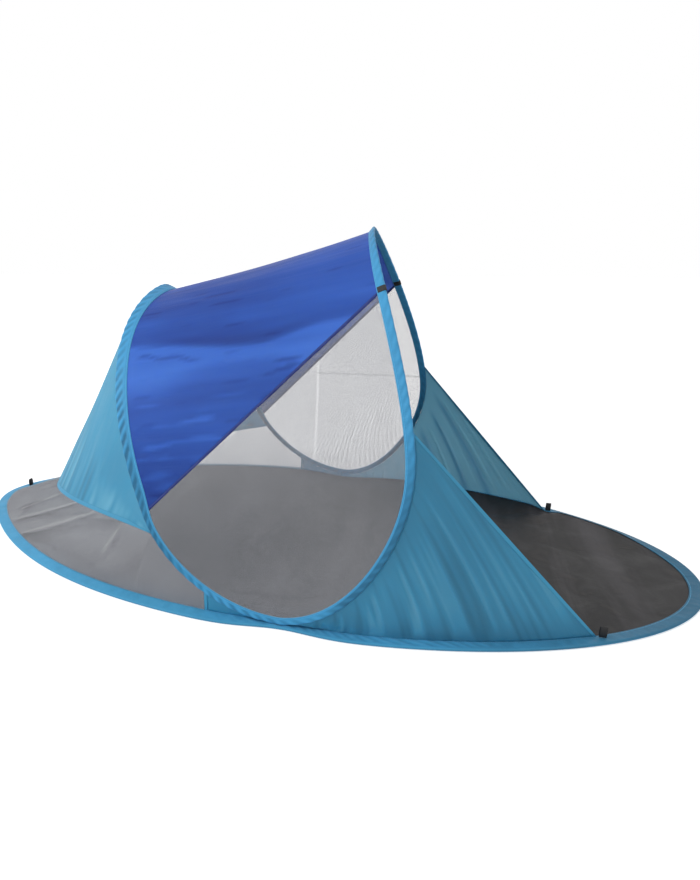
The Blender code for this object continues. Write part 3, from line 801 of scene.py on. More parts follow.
def cloth_look(name, colour, scale, turn=(0, 0, 0), roughness=0.5, crease=0.002, stitch=None,
               darkest=None, lightest=None, **values):
    """Woven polyester with long creases, slow colour changes and perhaps a row of stitches, with a painted
    highlight on the creases' ridges, painted shade in the stitches' channel, and the tone's painted light
    and shade.
    """
    made, tree, shader = new_look(name, colour, roughness, **{"Specular_IOR_Level": 0.2, **values})
    place = cloth_place(tree)
    weave = use(tree, weave_group(), {"Place": place, "Spacing": THREAD_SPACING})
    creases = use(tree, crease_group(), {"Place": place, "Turn": turn, "Scale": scale})
    dark, light = scaled(colour, 0.90), scaled(colour, 1.08)
    tint = mixed(tree, creases["Shade"], dark, light)
    tint = mixed(tree, times(tree, weave["Height"], 0.12), tint, dark)
    # A painted highlight on the creases' ridges.
    tint = mixed(tree, ramp(tree, creases["Height"], 0.45, 0.75, 0.0, 0.25), tint, light)
    # The darkest and lightest colours, towards which the tone paints its shade and its light.
    darkest = scaled(darkest) if darkest else scaled(colour, 0.45)
    lightest = scaled(lightest or (colour[0] * 1.9 + 0.02, colour[1] * 1.45, colour[2] * 1.25))
    tint = toned(tree, tint, darkest, lightest)
    heights = [(weave["Height"], 0.00008, 0.5), (creases["Height"], crease, 0.6)]
    if stitch:
        split = axes(tree, place)
        sewn = use(tree, stitch_group(), {"Along": split[0], "Across": split[1], "Row": stitch})
        # Painted shade in the stitches' channel; the thread itself is lighter.
        tint = mixed(tree, times(tree, sewn["Channel"], 0.25), tint, scaled(colour, 0.5))
        tint = mixed(tree, sewn["Thread"], tint, scaled(colour, 1.5, 0.03))
        heights.append((sewn["Height"], 0.0005, 0.7))
    rough = ramp(tree, creases["Height"], 0.2, 0.8, roughness - 0.07, roughness + 0.07)
    feed(tree, shader, Base_Color=tint, Roughness=rough)
    bump(tree, shader, *heights)
    return made


def net_look(name, colour, cell, thread, pressed=False):
    """Fine see-through mesh, with an upright and a level line if it was pressed flat."""
    made, tree, shader = new_look(name, colour, 0.75, Specular_IOR_Level=0.2)
    place = cloth_place(tree)
    net = use(tree, net_group(), {"Place": place, "Cell": cell, "Thread": thread})
    creases = use(tree, crease_group(), {"Place": place, "Scale": (14, 5, 10)})
    # The creases are painted lighter on their ridges and darker in their hollows, and the tone carries the
    # skirt's painted light and shade.
    tint = mixed(tree, creases["Height"], scaled(colour, 0.88), scaled(colour, 1.08))
    tint = toned(tree, tint, scaled(colour, 0.45), scaled(colour, 0.55, 0.45))
    cover = net["Cover"]
    if pressed:
        split = axes(tree, place)
        upright = apart(tree, maths(tree, "MULTIPLY_ADD", split[1], PRESSED_LEAN, split[0]), PRESSED_X)
        level = apart(tree, split[1], PRESSED_HEIGHT)
        level = maths(tree, "ADD", level, maths(tree, "LESS_THAN", split[0], PRESSED_START_X))
        cover = times(tree, cover, ramp(tree, upright, 0.001, 0.007, 0.45, 1.0))
        cover = maths(tree, "MAXIMUM", cover, ramp(tree, level, 0.001, 0.006, 0.10, 0.0))
    feed(tree, shader, Base_Color=tint, Alpha=cover)
    bump(tree, shader, (net["Cover"], 0.0002, 0.4), (creases["Height"], 0.0015, 0.3))
    return made


def floor_look(name, colour):
    """Coated floor cloth: nearly smooth, with broad streaks of painted sheen along its creases and a little
    dust.
    """
    streak_sheen_colour, dust_colour = (0.090, 0.085, 0.092, 1.0), (0.13, 0.12, 0.115, 1.0)
    made, tree, shader = new_look(name, colour, Specular_IOR_Level=0.2)
    place = object_place(tree)
    weave = use(tree, weave_group(), {"Place": place, "Spacing": FLOOR_THREAD_SPACING})
    streaks = use(tree, crease_group(), {"Place": place, "Scale": (9, 1.1, 5)})
    crumple = clouds(tree, place, 11.0, 4.0, 0.8)
    tint = mixed(tree, streaks["Shade"], scaled(colour, 0.88), scaled(colour, 1.12))
    # Painted sheen along the streaks' ridges.
    tint = mixed(tree, ramp(tree, streaks["Height"], 0.48, 0.68, 0.0, 0.7), tint, streak_sheen_colour)
    tint = mixed(tree, ramp(tree, crumple, 0.58, 0.72, 0.0, 0.25), tint, dust_colour)
    feed(tree, shader, Base_Color=tint, Roughness=ramp(tree, crumple, 0.3, 0.7, 0.42, 0.60))
    heights = ((weave["Height"], 0.0001, 0.4), (crumple, 0.003, 0.6), (streaks["Height"], 0.004, 0.4))
    bump(tree, shader, *heights)
    return made


def webbing_look(name, colour):
    """Ribbed black webbing with a woven herringbone."""
    rib, bone = 2 * math.pi / RIB_SPACING, 2 * math.pi / HERRINGBONE_SPACING
    made, tree, shader = new_look(name, colour, 0.62)
    split = axes(tree, cloth_place(tree))
    slant = maths(tree, "ADD", split[0], maths(tree, "ABSOLUTE", split[1]))
    both = maths(tree, "ADD", wave(tree, split[0], rib), wave(tree, slant, bone))
    height = maths(tree, "MULTIPLY_ADD", both, 0.25, 0.5)
    # The ribs and herringbone are painted lighter on their ridges and darker in their grooves: painted
    # light and shade.
    feed(tree, shader, Base_Color=mixed(tree, height, scaled(colour, 0.7), scaled(colour, 2.2)))
    bump(tree, shader, (height, 0.0003, 0.8))
    return made


def steel_look(name):
    """Drawn spring steel with fine lines and a few oily spots."""
    steel, oily = (0.5, 0.5, 0.52), (0.3, 0.28, 0.26, 1.0)
    made, tree, shader = new_look(name, steel, 0.3, Metallic=1.0)
    place = object_place(tree)
    grain = clouds(tree, place, 600.0)
    tint = mixed(tree, ramp(tree, clouds(tree, place, 25.0), 0.5, 0.7), scaled(steel), oily)
    feed(tree, shader, Base_Color=tint, Roughness=ramp(tree, grain, 0.3, 0.7, 0.22, 0.42))
    bump(tree, shader, (grain, 0.00005, 0.4))
    return made


def look(name):
    """The named material, made the first time that it is asked for."""
    if name in bpy.data.materials:
        return bpy.data.materials[name]
    colours = bpy.context.scene.tent_colours
    thin = {"Subsurface_Weight": 0.7, "Subsurface_Radius": (1.0, 1.0, 1.0), "Subsurface_Scale": 0.003}
    fine = {"scale": (60, 60, 10), "crease": 0.001}
    makers = {
        "hoop_cloth": lambda: cloth_look(name, colours.hoop, (90, 30, 10), (0, 0, 0.6),
                                         stitch=-SLEEVE_STITCH, Sheen_Weight=0.08),
        "ring_cloth": lambda: cloth_look(name, colours.binding, (70, 20, 10),
                                         stitch=-BINDING_STITCH, Sheen_Weight=0.08),
        # The panel's lightest is the painted light of the rear wing and of the folds.
        "panel_cloth": lambda: cloth_look(name, colours.panel, (6, 26, 10), (0, 0, 0.5), crease=0.003,
                                          lightest=(0.175, 0.485, 0.68), **thin),
        # The roof's darkest and lightest are its painted shade and its painted band of light.
        "roof_cloth": lambda: cloth_look(name, colours.roof, (4, 34, 10), roughness=0.45, crease=0.003,
                                         darkest=(0.020, 0.048, 0.25), lightest=(0.060, 0.185, 0.72),
                                         Specular_IOR_Level=0.08, **thin),
        "hem_cloth": lambda: cloth_look(name, colours.hem, Sheen_Weight=0.05, **fine),
        "roof_hem": lambda: cloth_look(name, colours.tape, **fine),
        "window_net": lambda: net_look(name, colours.net, WINDOW_CELL, WINDOW_THREAD),
        "pressed_net": lambda: net_look(name, colours.net, WINDOW_CELL, WINDOW_THREAD, pressed=True),
        "skirt_net": lambda: net_look(name, colours.net, SKIRT_CELL, SKIRT_THREAD),
        "floor_cloth": lambda: floor_look(name, colours.floor),
        "webbing": lambda: webbing_look(name, colours.webbing),
        "hoop_steel": lambda: steel_look(name),
    }
    return makers[name]()


# Settings


def relief(label, description, default, most):
    return FloatProperty(name=label, description=description, default=default, min=0.0, max=most,
                         unit="LENGTH")


class TentSizes(bpy.types.PropertyGroup):
    """Sizes of the cloth's own detail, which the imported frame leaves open."""

    sleeve_wrinkle: relief("Sleeve Wrinkle", "Depth of the wrinkles on the arch sleeve", 0.0014, 0.003)
    binding_wrinkle: relief("Binding Wrinkle", "Depth of the puckers on the floor binding", 0.0008, 0.003)
    roof_crease: relief("Roof Crease", "Depth of the roof's soft creases", 0.0025, 0.008)
    window_crease: relief("Window Crease", "Depth of the window mesh's soft creases", 0.0020, 0.008)
    wing_fold: relief("Wing Fold", "Depth of the tension folds in the porch wings", 0.0040, 0.015)
    skirt_fold: relief("Skirt Fold", "Depth of the tension folds in the mesh skirt", 0.0030, 0.015)
    panel_fold: relief("Panel Fold", "Depth of the soft folds in the closed end's panel", 0.0040, 0.015)
    floor_crumple: relief("Floor Crumple", "Height of the crumples in the floor cloth", 0.0030, 0.012)


def dye(label, colour):
    return FloatVectorProperty(name=label, description=label + " colour of the cloth or part",
                               default=colour, min=0.0, max=1.0, subtype="COLOR")


class TentColours(bpy.types.PropertyGroup):
    """Colours of the tent's materials."""

    hoop: dye("Arch Sleeve", (0.060, 0.35, 0.66))
    binding: dye("Floor Binding", (0.070, 0.36, 0.62))
    panel: dye("Side Panel", (0.055, 0.30, 0.50))
    hem: dye("Hem", (0.065, 0.35, 0.58))
    roof: dye("Roof", (0.034, 0.105, 0.46))
    tape: dye("Roof Hem", (0.030, 0.050, 0.22))
    net: dye("Mesh", (0.56, 0.57, 0.61))
    floor: dye("Floor", (0.033, 0.032, 0.033))
    webbing: dye("Webbing", (0.010, 0.010, 0.011))
    ground: dye("Studio Ground", (0.90, 0.90, 0.90))


class TentPiece:
    """What every operator of the tent shares."""

    bl_options = {"REGISTER", "UNDO"}

    def execute(self, context):
        self.make(context.scene.tent_sizes)
        return {"FINISHED"}


class TENT_OT_floor(TentPiece, bpy.types.Operator):
    """Make the crumpled floor cloth inside the floor hoop"""

    bl_idname = "tent.floor"
    bl_label = "Floor Cloth"

    def make(self, sizes):
        stations, base = ring_stations()[::2], WALL + SLOT / 2
        tucked, edge = [], []
        for station in stations + stations[:1]:
            part = (station.width - TUCK) / station.width
            low, high = station.seam(-TUCK), station.seam(FLOOR_EDGE_GAP)
            tucked.append(Vector((low.x, low.y, base + station.rise * part)))
            edge.append(Vector((high.x, high.y, base + station.rise)))

        def crumpled(rim, way):
            """The cloth on its way from the rim to the middle, lifted near the rim."""
            x, y = rim.x * (1 - way), rim.y * (1 - way)
            lifted = (rim.z - base) * math.exp(-way * math.hypot(rim.x, rim.y) / FLOOR_LIFT_REACH)
            swell = soft(x * 3, y * 3, 1.7) * 0.5 + 0.5
            sharp = abs(soft(x * 9 + 3, y * 7, 4.1)) + 0.5 * abs(soft(x * 19, y * 17, 9.3))
            ridge = max(0.0, 0.55 - sharp) * 1.8
            rough = sizes.floor_crumple * min(1.0, way * 9) * (0.6 * swell + 0.4 * ridge * swell)
            return Vector((x, y, base + lifted + rough))

        rings = [[crumpled(rim, i / FLOOR_RINGS) for rim in edge] for i in range(1, FLOOR_RINGS + 1)]
        rows = [tucked, edge] + rings

        def share(i, j):
            """The low middle turns only beyond the fold line, where that can't take it below the ground."""
            point = rows[i][j]
            return fold_share(point.x - BEND_REACH * (1 - min(point.z / BINDING_HEIGHT, 1.0)))

        build = grid(rows, shares=each(rows, share))
        made = piece("floor_cloth", build, "floor_cloth", PANEL)
        fold_between(made)
        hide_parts("floor_sheet_closed_end", "floor_sheet_open_end")


class TENT_OT_binding(TentPiece, bpy.types.Operator):
    """Make the floor hoop's binding"""

    bl_idname = "tent.binding"
    bl_label = "Floor Binding"

    def make(self, sizes):
        def section(station, run):
            x = station.point.x
            wound = 1.2 * plateau(x, -0.15, 0.1, 0.45, 0.65)
            # Random worn patches, and painted shade that darkens the binding towards the open end.
            wear_and_shade = 0.30 * patches(0.0, 0.7, run * 7, 0.4, 2.2) + 0.95 * smooth(x, 0.35, 1.10)

            def surface(round_wire, share):
                # The tone: painted shade on the underside and on the rounded outer edge, painted light and
                # shade that follow the puckers, and a darker line at the stitches.
                if round_wire > 0:
                    return 0.0, -0.45 * smooth(round_wire, 0.0, 0.004)
                pucker = ripple(run, round_wire * 0.6, 55, 3.3) + wound * rope(run, round_wire)
                pucker += 0.6 * ripple(run + round_wire * 0.8, 0, 120, 8.1)
                pucker *= arc(share, 0.6)
                seam = bell(BINDING_WIDTH * (1 - share), BINDING_STITCH, 0.0012)
                tone = 0.22 * pucker - 0.40 * seam - 0.30 * smooth(round_wire, -0.004, 0.0) - wear_and_shade
                return sizes.binding_wrinkle * pucker, tone
            bottom = station.rise - SLEEVE_RADIUS
            return pocket_section(BINDING_WIDTH, bottom + FLAP_TOP, bottom, surface)

        made = tube("floor_binding_cloth", ring_stations(), section, "ring_cloth")
        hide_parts("floor_binding_closed_end", "floor_binding_open_end")


class TENT_OT_arch(TentPiece, bpy.types.Operator):
    """Make the sleeve of the arch hoop"""

    bl_idname = "tent.arch"
    bl_label = "Arch Sleeve"

    def make(self, sizes):
        front = refined(arch_stations())
        half_way, total = front[ARCH_STEPS * 2].run, front[-1].run
        rear = [station.mirrored() for station in reversed(front[1:-1])]
        for station in rear:
            station.run = 2 * total - station.run

        def section(station, run):
            height, from_apex = station.point.z, min(run, 2 * total - run)
            closed_side = 1 - smooth(from_apex, half_way - 0.10, half_way + 0.25)
            gather = (0.35 + 0.65 * closed_side) * (0.55 + 0.45 * soft(run * 5, 0.3, 7.7))
            # Painted shade on the sleeve's low stretches, stronger on the open branch.
            shaded = closed_side * plateau(height, 0.06, 0.18, 0.30, 0.62)
            shaded += 1.5 * (1 - closed_side) * plateau(height, 0.03, 0.10, 0.25, 0.55)

            def surface(round_wire, share):
                wire_half = 1 - smooth(share, 0.40, 0.75)
                wound = rope(run, round_wire) + 0.5 * ripple(run, round_wire, 95, 1.4)
                wound *= wire_half * gather
                fine = 0.5 * ripple(run + abs(round_wire) * 0.6, 0.2, 60, 5.2) * (1 - wire_half)
                edges = arc(min(share, 0.98), 0.5) if share > 0.25 else 1.0
                # The tone: painted light on the wrinkles' ridges and painted shade in their hollows, a
                # painted highlight along the seam's edge with a darker line beside it, painted shade on the
                # outer part of the low stretches, and darker on the wire's half of the closed branch and
                # near the crown.
                rim = 0.60 * smooth(share, 0.88, 0.92) - 0.30 * bell(share, 0.80, 0.05)
                dark = 0.60 * shaded * (1 - smooth(share, 0.6, 0.9))
                dark += 0.22 * wire_half * closed_side + 0.30 * smooth(height, 0.84, 0.93)
                tone = 0.80 * wound + 0.25 * fine + rim - dark
                return sizes.sleeve_wrinkle * (wound + fine) * edges, tone
            flat = SLOT / 2 + WALL
            return pocket_section(station.width, flat, -flat, surface, flap_steps=6)

        made = tube("arch_sleeve", front + rear, section, "hoop_cloth")
        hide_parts("arch_sleeve_closed_end", "arch_sleeve_open_end",
                    "arch_sleeve_bend_front", "arch_sleeve_bend_rear")


def branches():
    """The arch hoop's closed branch from its apex, its bend, and its open branch from its apex."""
    arch = arch_stations()
    closed = arch[: ARCH_STEPS + 1]
    bend = arch[ARCH_STEPS: ARCH_STEPS + BEND_STEPS + 1]
    opened = list(reversed(arch[ARCH_STEPS + BEND_STEPS:]))
    return closed, bend, opened


def nearest_height(stations, height):
    """The number of the station nearest that height, out of those that the part's solids have."""
    return min(range(0, len(stations), FINER), key=lambda i: abs(stations[i].point.z - height))


def canopy_row(closed, opened):
    """A line of canopy from the closed arch to the open one, sagging a little to the inside."""
    a, b = closed.seam(), opened.seam()
    middle = (a + b) / 2
    sag = square_to(closed.along.cross(b - a), (b - a).normalized())
    if sag.dot(Vector((middle.x, 0, 0)) - middle) < 0:
        sag = -sag
    depth = (b - a).length * ROOF_SAG_SHARE
    parts = [i / BEND_STEPS for i in range(BEND_STEPS + 1)]
    line = [a.lerp(b, t) + sag * depth * 4 * t * (1 - t) for t in parts]
    return [closed.seam(-TUCK)] + line + [opened.seam(-TUCK)]


def canopy_rows():
    """The saddle between the arches in front, from the apexes down to the crossing."""
    closed, bend, opened = branches()
    front = [canopy_row(c, o) for c, o in zip(closed, opened)]
    front[0] = centred(front[0])
    foot = [bend[0].seam(-TUCK)] + [s.seam() for s in bend] + [bend[-1].seam(-TUCK)]
    last = front[-1]
    for step in range(1, FOOT_STEPS + 1):
        front.append([p.lerp(q, step / FOOT_STEPS) for p, q in zip(last, foot)])
    tuck = [s.seam(-TUCK) for s in bend]
    front.append([tuck[0]] + tuck + [tuck[-1]])
    return front


def slope_plane():
    """A place on the cut between roof and windows, and the way above it."""
    closed, _, opened = branches()
    high = opened[nearest_height(opened, OPEN_ARCH_HEIGHT - ROOF_OPEN_DROP)].point
    low = closed[nearest_height(closed, ROOF_CLOSED_HEIGHT)].point
    slope = Vector((high.x - low.x, 0, high.z - low.z)).normalized()
    return low, Vector((-slope.z, 0, slope.x))


def cut(build, place, kept_side):
    geometry = list(build.verts) + list(build.edges) + list(build.faces)
    bmesh.ops.bisect_plane(build, geom=geometry, plane_co=place, plane_no=kept_side, dist=1e-6,
                           clear_inner=True)


class TENT_OT_canopy(TentPiece, bpy.types.Operator):
    """Make the roof, the two mesh windows and the tape between them"""

    bl_idname = "tent.canopy"
    bl_label = "Roof And Windows"

    def rows(self, depth, seed):
        """The canopy in front with creases along it and puckers at its seams."""
        flat = canopy_rows()
        last = len(flat[0]) - 1

        def push(i, j):
            if j in (0, last) or i == len(flat) - 1:
                return 0.0
            part = (j - 1) / (last - 2)
            long = soft(part * 1.8, i * 0.085, seed) + 0.5 * soft(part * 3, i * 0.21, seed + 5)
            near = math.exp(-part / 0.06) + math.exp(-(1 - part) / 0.06)
            pucker = 0.2 * near * soft(part * 5, i * 0.55, seed + 9) * (0.001 < part < 0.999)
            return depth * (arc(part, 0.5) * long + pucker)

        rows = pushed(flat, push)
        rows[0] = centred(rows[0])
        return rows

    def tones(self, seed):
        """The roof's painted light and shade: a painted band of light below a crease, painted shade above
        it and low down.
        """
        def tone(i, part):
            top = ROOF_BAND_TOP + 6 * smooth(part, 0.0, 0.5) - 4 * smooth(part, 0.55, 0.8)
            top += 1.5 * soft(part * 3.5, 0.3, seed)
            foot = ROOF_BAND_FOOT - 5 * smooth(part, 0.1, 0.45) + 8 * smooth(part, 0.55, 0.8)
            foot += 2.5 * soft(part * 3.0, 0.7, seed)
            above = (1 - smooth(i, top - 2, top)) * (1 - smooth(part, 0.40, 0.85))
            # Painted shade above the band, near the ridge, low down, along the crease, in dark patches and
            # in dents; a second painted band of light, short painted patches of light and painted streaks
            # along the roof.
            dark = 0.38 * above + 0.25 * (1 - smooth(i, 10, 30)) + 0.60 * smooth(i, 66, 90)
            dark += 0.30 * bell(i, top - 2.2, 1.6) * smooth(part, 0.05, 0.25)
            dark += 0.40 * patches(0.40, 0.62, part * 6.0, i * 0.80, seed + 8)
            crease = bell(i, top + 4.4 + 0.5 * math.sin(part * 50), 0.7)
            dark += 0.8 * crease * plateau(part, 0.04, 0.09, 0.26, 0.34)
            hollow_shade = patches(0.25, 0.50, part * 7.0, i * 0.45, seed + 11) * smooth(part, 0.40, 0.60)
            dark += 0.7 * hollow_shade * plateau(i, 44, 47, 62, 68)
            band = plateau(i, top - 0.9, top + 0.9, foot - 4, foot + 6)
            second = bell(i, ROOF_SECOND_BAND + 7 * part, 2.5) * patches(-0.1, 0.4, part * 3.0, 0.9, seed)
            short = patches(0.22, 0.50, part * 5.0, i * 0.38, seed + 2) * smooth(i, 56, 66)
            streak = 0.25 * soft(part * 1.5, i * 0.10, seed) + 0.22 * soft(part * 3.0, i * 0.33, seed + 4)
            return 0.80 * band + 0.65 * second + 0.60 * short + streak - dark

        last = BEND_STEPS + 2
        return [[tone(i, j / last) for j in range(last + 1)] for i in range(ARCH_STEPS + FOOT_STEPS + 2)]

    def shares(self):
        """Each point's share of the fold: even along a row, and that of the sleeve at the foot."""
        bend = branches()[1]
        even = [0.0] + [i / BEND_STEPS for i in range(BEND_STEPS + 1)] + [1.0]
        foot = [0.0] + [station.share for station in bend] + [1.0]
        rows = [even] * (ARCH_STEPS + 1)
        for step in range(1, FOOT_STEPS + 1):
            rows.append([a + (b - a) * step / FOOT_STEPS for a, b in zip(even, foot)])
        return rows + [foot]

    def make(self, sizes):
        place, above = slope_plane()
        shares = self.shares()
        front, rear = self.rows(sizes.roof_crease, 2.0), flipped(self.rows(sizes.roof_crease, 6.0))
        rear[0] = front[0]
        build = grid(joined(front, rear), shares=joined(shares, shares),
                     tones=joined(self.tones(31.0), self.tones(37.0)))
        cut(build, place + above * ROOF_CUT_GAP, above)
        roof = piece("roof", build, "roof_cloth", PANEL)
        fold_between(roof)
        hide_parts("roof_panel")
        windows = self.rows(sizes.window_crease, 11.0), flipped(self.rows(sizes.window_crease, 15.0))
        hems = []
        for side, window, tape, net in zip(SIDES, windows, (front, rear), ("window_net", "pressed_net")):
            places = [[(point.x, point.z) for point in row] for row in window]
            build = grid(window, places, shares)
            cut(build, place - above * ROOF_CUT_GAP, -above)
            made = piece("window_net_" + side, build, net, PANEL)
            fold_between(made)
            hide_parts("window_" + side)
            build = grid(tape, shares=shares)
            cut(build, place + above * TAPE_OVER, -above)
            cut(build, place - above * TAPE_UNDER, above)
            hems.append(piece("roof_hem_" + side, build, "roof_hem", TAPE_DEPTH))
            fold_between(hems[-1])


def edge_away(station, target):
    """The place beside the sleeve's round back where a panel towards the target is sewn."""
    direction = square_to(target - station.point, station.along)
    return station.point + direction * (SLEEVE_RADIUS + SLEEVE_CLEAR)


def hem_point(corner, part):
    """The lower hem of the closed end, from its corner on the sleeve to the middle."""
    eased = 1 - (1 - part) ** HEM_EASE_POWER
    x = corner.x + (CROSSING_X + HEM_X - corner.x) * eased
    y = corner.y * (1 - eased) ** HEM_SIDE_POWER
    z = corner.z + (HEM_HEIGHT - corner.z) * eased ** HEM_DROP_POWER
    return Vector((x, y, z))


def seam_line(side="front"):
    """Where the walls are sewn to the binding, from the open tip, all turned to the front."""
    ring = ring_stations()
    half = RING_STEPS // 2
    stations = ring[:1] + list(reversed(ring[half:])) if side == "front" else ring[: half + 1]
    line = []
    for station in stations:
        place = station.reach(station.width - EDGE_INSET)
        slope = (BINDING_HEIGHT - FLAP_TOP - station.rise) * EDGE_INSET / station.width
        line.append(Vector((place.x, -abs(place.y), FLAP_TOP + station.rise + slope - FOOT_BITE)))
    return line


def seam_between(line, first_x, last_x, count):
    """count + 1 equally spaced places on a seam line, from one X position to another."""
    low, high = min(first_x, last_x), max(first_x, last_x)
    kept = [p for p in resample(line, PATH_SAMPLES) if low <= p.x <= high]
    if abs(kept[0].x - first_x) > abs(kept[-1].x - first_x):
        kept.reverse()
    return resample(kept, count)


def column(top, foot, rows):
    return [top.lerp(foot, i / rows) for i in range(rows + 1)]


class TENT_OT_closed_end(TentPiece, bpy.types.Operator):
    """Make the closed end: its panel, its mesh skirt and its two gussets"""

    bl_idname = "tent.closed_end"
    bl_label = "Closed End"

    def make(self, sizes):
        closed, bend, _ = branches()
        line = seam_line()
        corner_step = nearest_height(closed, HEM_CORNER_HEIGHT)
        gusset_step = min(range(0, len(closed), FINER),
                          key=lambda i: abs(closed[i].point.x - CROSSING_X + GUSSET_REACH))
        tip = min(line, key=lambda p: p.x)
        feet = seam_between(line, tip.x, closed[gusset_step].point.x, gusset_step)
        corner = edge_away(closed[corner_step], feet[corner_step])
        hems = [hem_point(corner, 1 - i / corner_step) for i in range(corner_step + 1)]
        hems[0].y = 0
        panel = []
        for station, hem in zip(closed[: corner_step + 1], hems):
            panel.append(column(edge_away(station, hem), hem, PANEL_ROWS))
        panel[0] = centred(panel[0])
        panel[-1] = [corner] * (PANEL_ROWS + 1)
        whole = joined(panel, flipped(panel))
        last = len(whole) - 1

        def hanging(i, j):
            part = j / PANEL_ROWS
            ends = smooth(part, 0.40, 0.80) * (1 - 0.7 * smooth(part, 0.95, 1.0))
            return ends * soft(i * 0.30, part * 0.8, 41.0)

        def push(i, j):
            broad = soft(i * 0.035, j * 0.02, 3.0) + 0.4 * soft(i * 0.12, j * 0.05, 8.0)
            edge = arc(i / last, 0.5) * arc(j / PANEL_ROWS, 0.7)
            return sizes.panel_fold * edge * (broad + 1.3 * hanging(i, j))

        # Painted light and shade that follow the hanging folds, and a slow random change.
        def tone(i, j):
            return 1.05 * hanging(i, j) + 0.22 * soft(i * 0.05, j * 0.05, 45.0)

        shape = pushed(whole, push)
        build = grid(shape, tones=each(whole, tone))
        made = piece("end_cloth", build, "panel_cloth", PANEL)
        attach(made, "closed_half")
        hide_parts("end_panel")
        edge, inner = ([c[k] for c in shape[1:-1]] for k in (-1, -1 - END_HEM_STEPS))
        hem = strip("end_hem", edge, inner, END_HEM_WIDTH)
        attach(hem, "closed_half")
        self.skirt(sizes, closed, hems, feet, corner_step, gusset_step)
        self.gussets(closed, gusset_step, feet[-1], line, bend)

    def skirt(self, sizes, closed, hems, feet, corner_step, gusset_step):
        joins = (*SKIRT_JOINS, (corner_step, corner_step))
        tops = []
        for i in range(gusset_step + 1):
            if i <= corner_step:
                low, high = next(pair for pair in zip(joins, joins[1:]) if i <= pair[1][0])
                at = low[1] + (high[1] - low[1]) * (i - low[0]) / (high[0] - low[0])
                before = min(int(at), corner_step - 1)
                hem = hems[before].lerp(hems[before + 1], at - before)
                tops.append(hem + (feet[i] - hem).normalized() * SKIRT_TOP_GAP)
            else:
                tops.append(edge_away(closed[i], feet[i]))
        tops[0].y = 0
        columns = [column(t, f, SKIRT_ROWS) for t, f in zip(tops, feet)]
        columns[0] = centred(columns[0])
        whole = joined(columns, flipped(columns))
        last = len(whole) - 1
        lines = []
        for step, length, strength in SKIRT_PULLS:
            a, b = columns[step][0], columns[step][round(SKIRT_ROWS * length)]
            lines.append((a.xy, (b - a).xy, strength))

        def pull(i, j, wide, shift=0.0):
            """The tight folds that run straight down from the hem."""
            place, total = whole[i][j].xy, 0.0
            place.y = -abs(place.y)
            for start, way, strength in lines:
                part = (place - start).dot(way) / way.length_squared
                off = (place - start - way * part).dot(Vector((-way.y, way.x)).normalized())
                total += strength * bell(off, shift, wide) * plateau(part, -0.06, 0.02, 0.90, 1.04)
            return total

        def push(i, j):
            edge = arc(i / last, 0.3) * arc(j / SKIRT_ROWS, 0.8)
            return sizes.skirt_fold * edge * (soft(i * 0.06, j * 0.015, 13.0) + 0.45 * pull(i, j, 0.007))

        # Painted light along the tight folds, painted shade in the hollows beside them, and a slow random
        # change.
        def tone(i, j):
            hollow_shade = 0.35 * pull(i, j, 0.006, 0.010)
            return 1.1 * pull(i, j, 0.0040) - hollow_shade + 0.12 * soft(i * 0.07, j * 0.06, 17.0)

        shape = pushed(whole, push)
        made = piece("skirt_net", grid(shape, tones=each(whole, tone)), "skirt_net", PANEL)
        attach(made, "closed_half")
        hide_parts("mesh_skirt")
        seams = []
        inners = shape[SKIRT_SEAM_STEPS], shape[-1 - SKIRT_SEAM_STEPS]
        for side, edge, inner in zip(SIDES, (shape[0], shape[-1]), inners):
            seams.append(strip("skirt_seam_" + side, edge, inner, SKIRT_SEAM_WIDTH))
            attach(seams[-1], "closed_half")

    def gussets(self, closed, first, foot, line, bend):
        run = closed[first:] + bend[1: BEND_STEPS // 3]
        feet = seam_between(line, foot.x + PANEL, run[-1].point.x, len(run) - 1)
        columns = [column(edge_away(s, f), f, GUSSET_ROWS) for s, f in zip(run, feet)]
        shares = even_shares(run, GUSSET_ROWS + 1)
        for side, rows in zip(SIDES, (columns, flipped(columns))):
            build = grid(rows, shares=shares)
            made = piece("gusset_cloth_" + side, build, "panel_cloth", PANEL)
            fold_between(made)
            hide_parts("gusset_" + side)


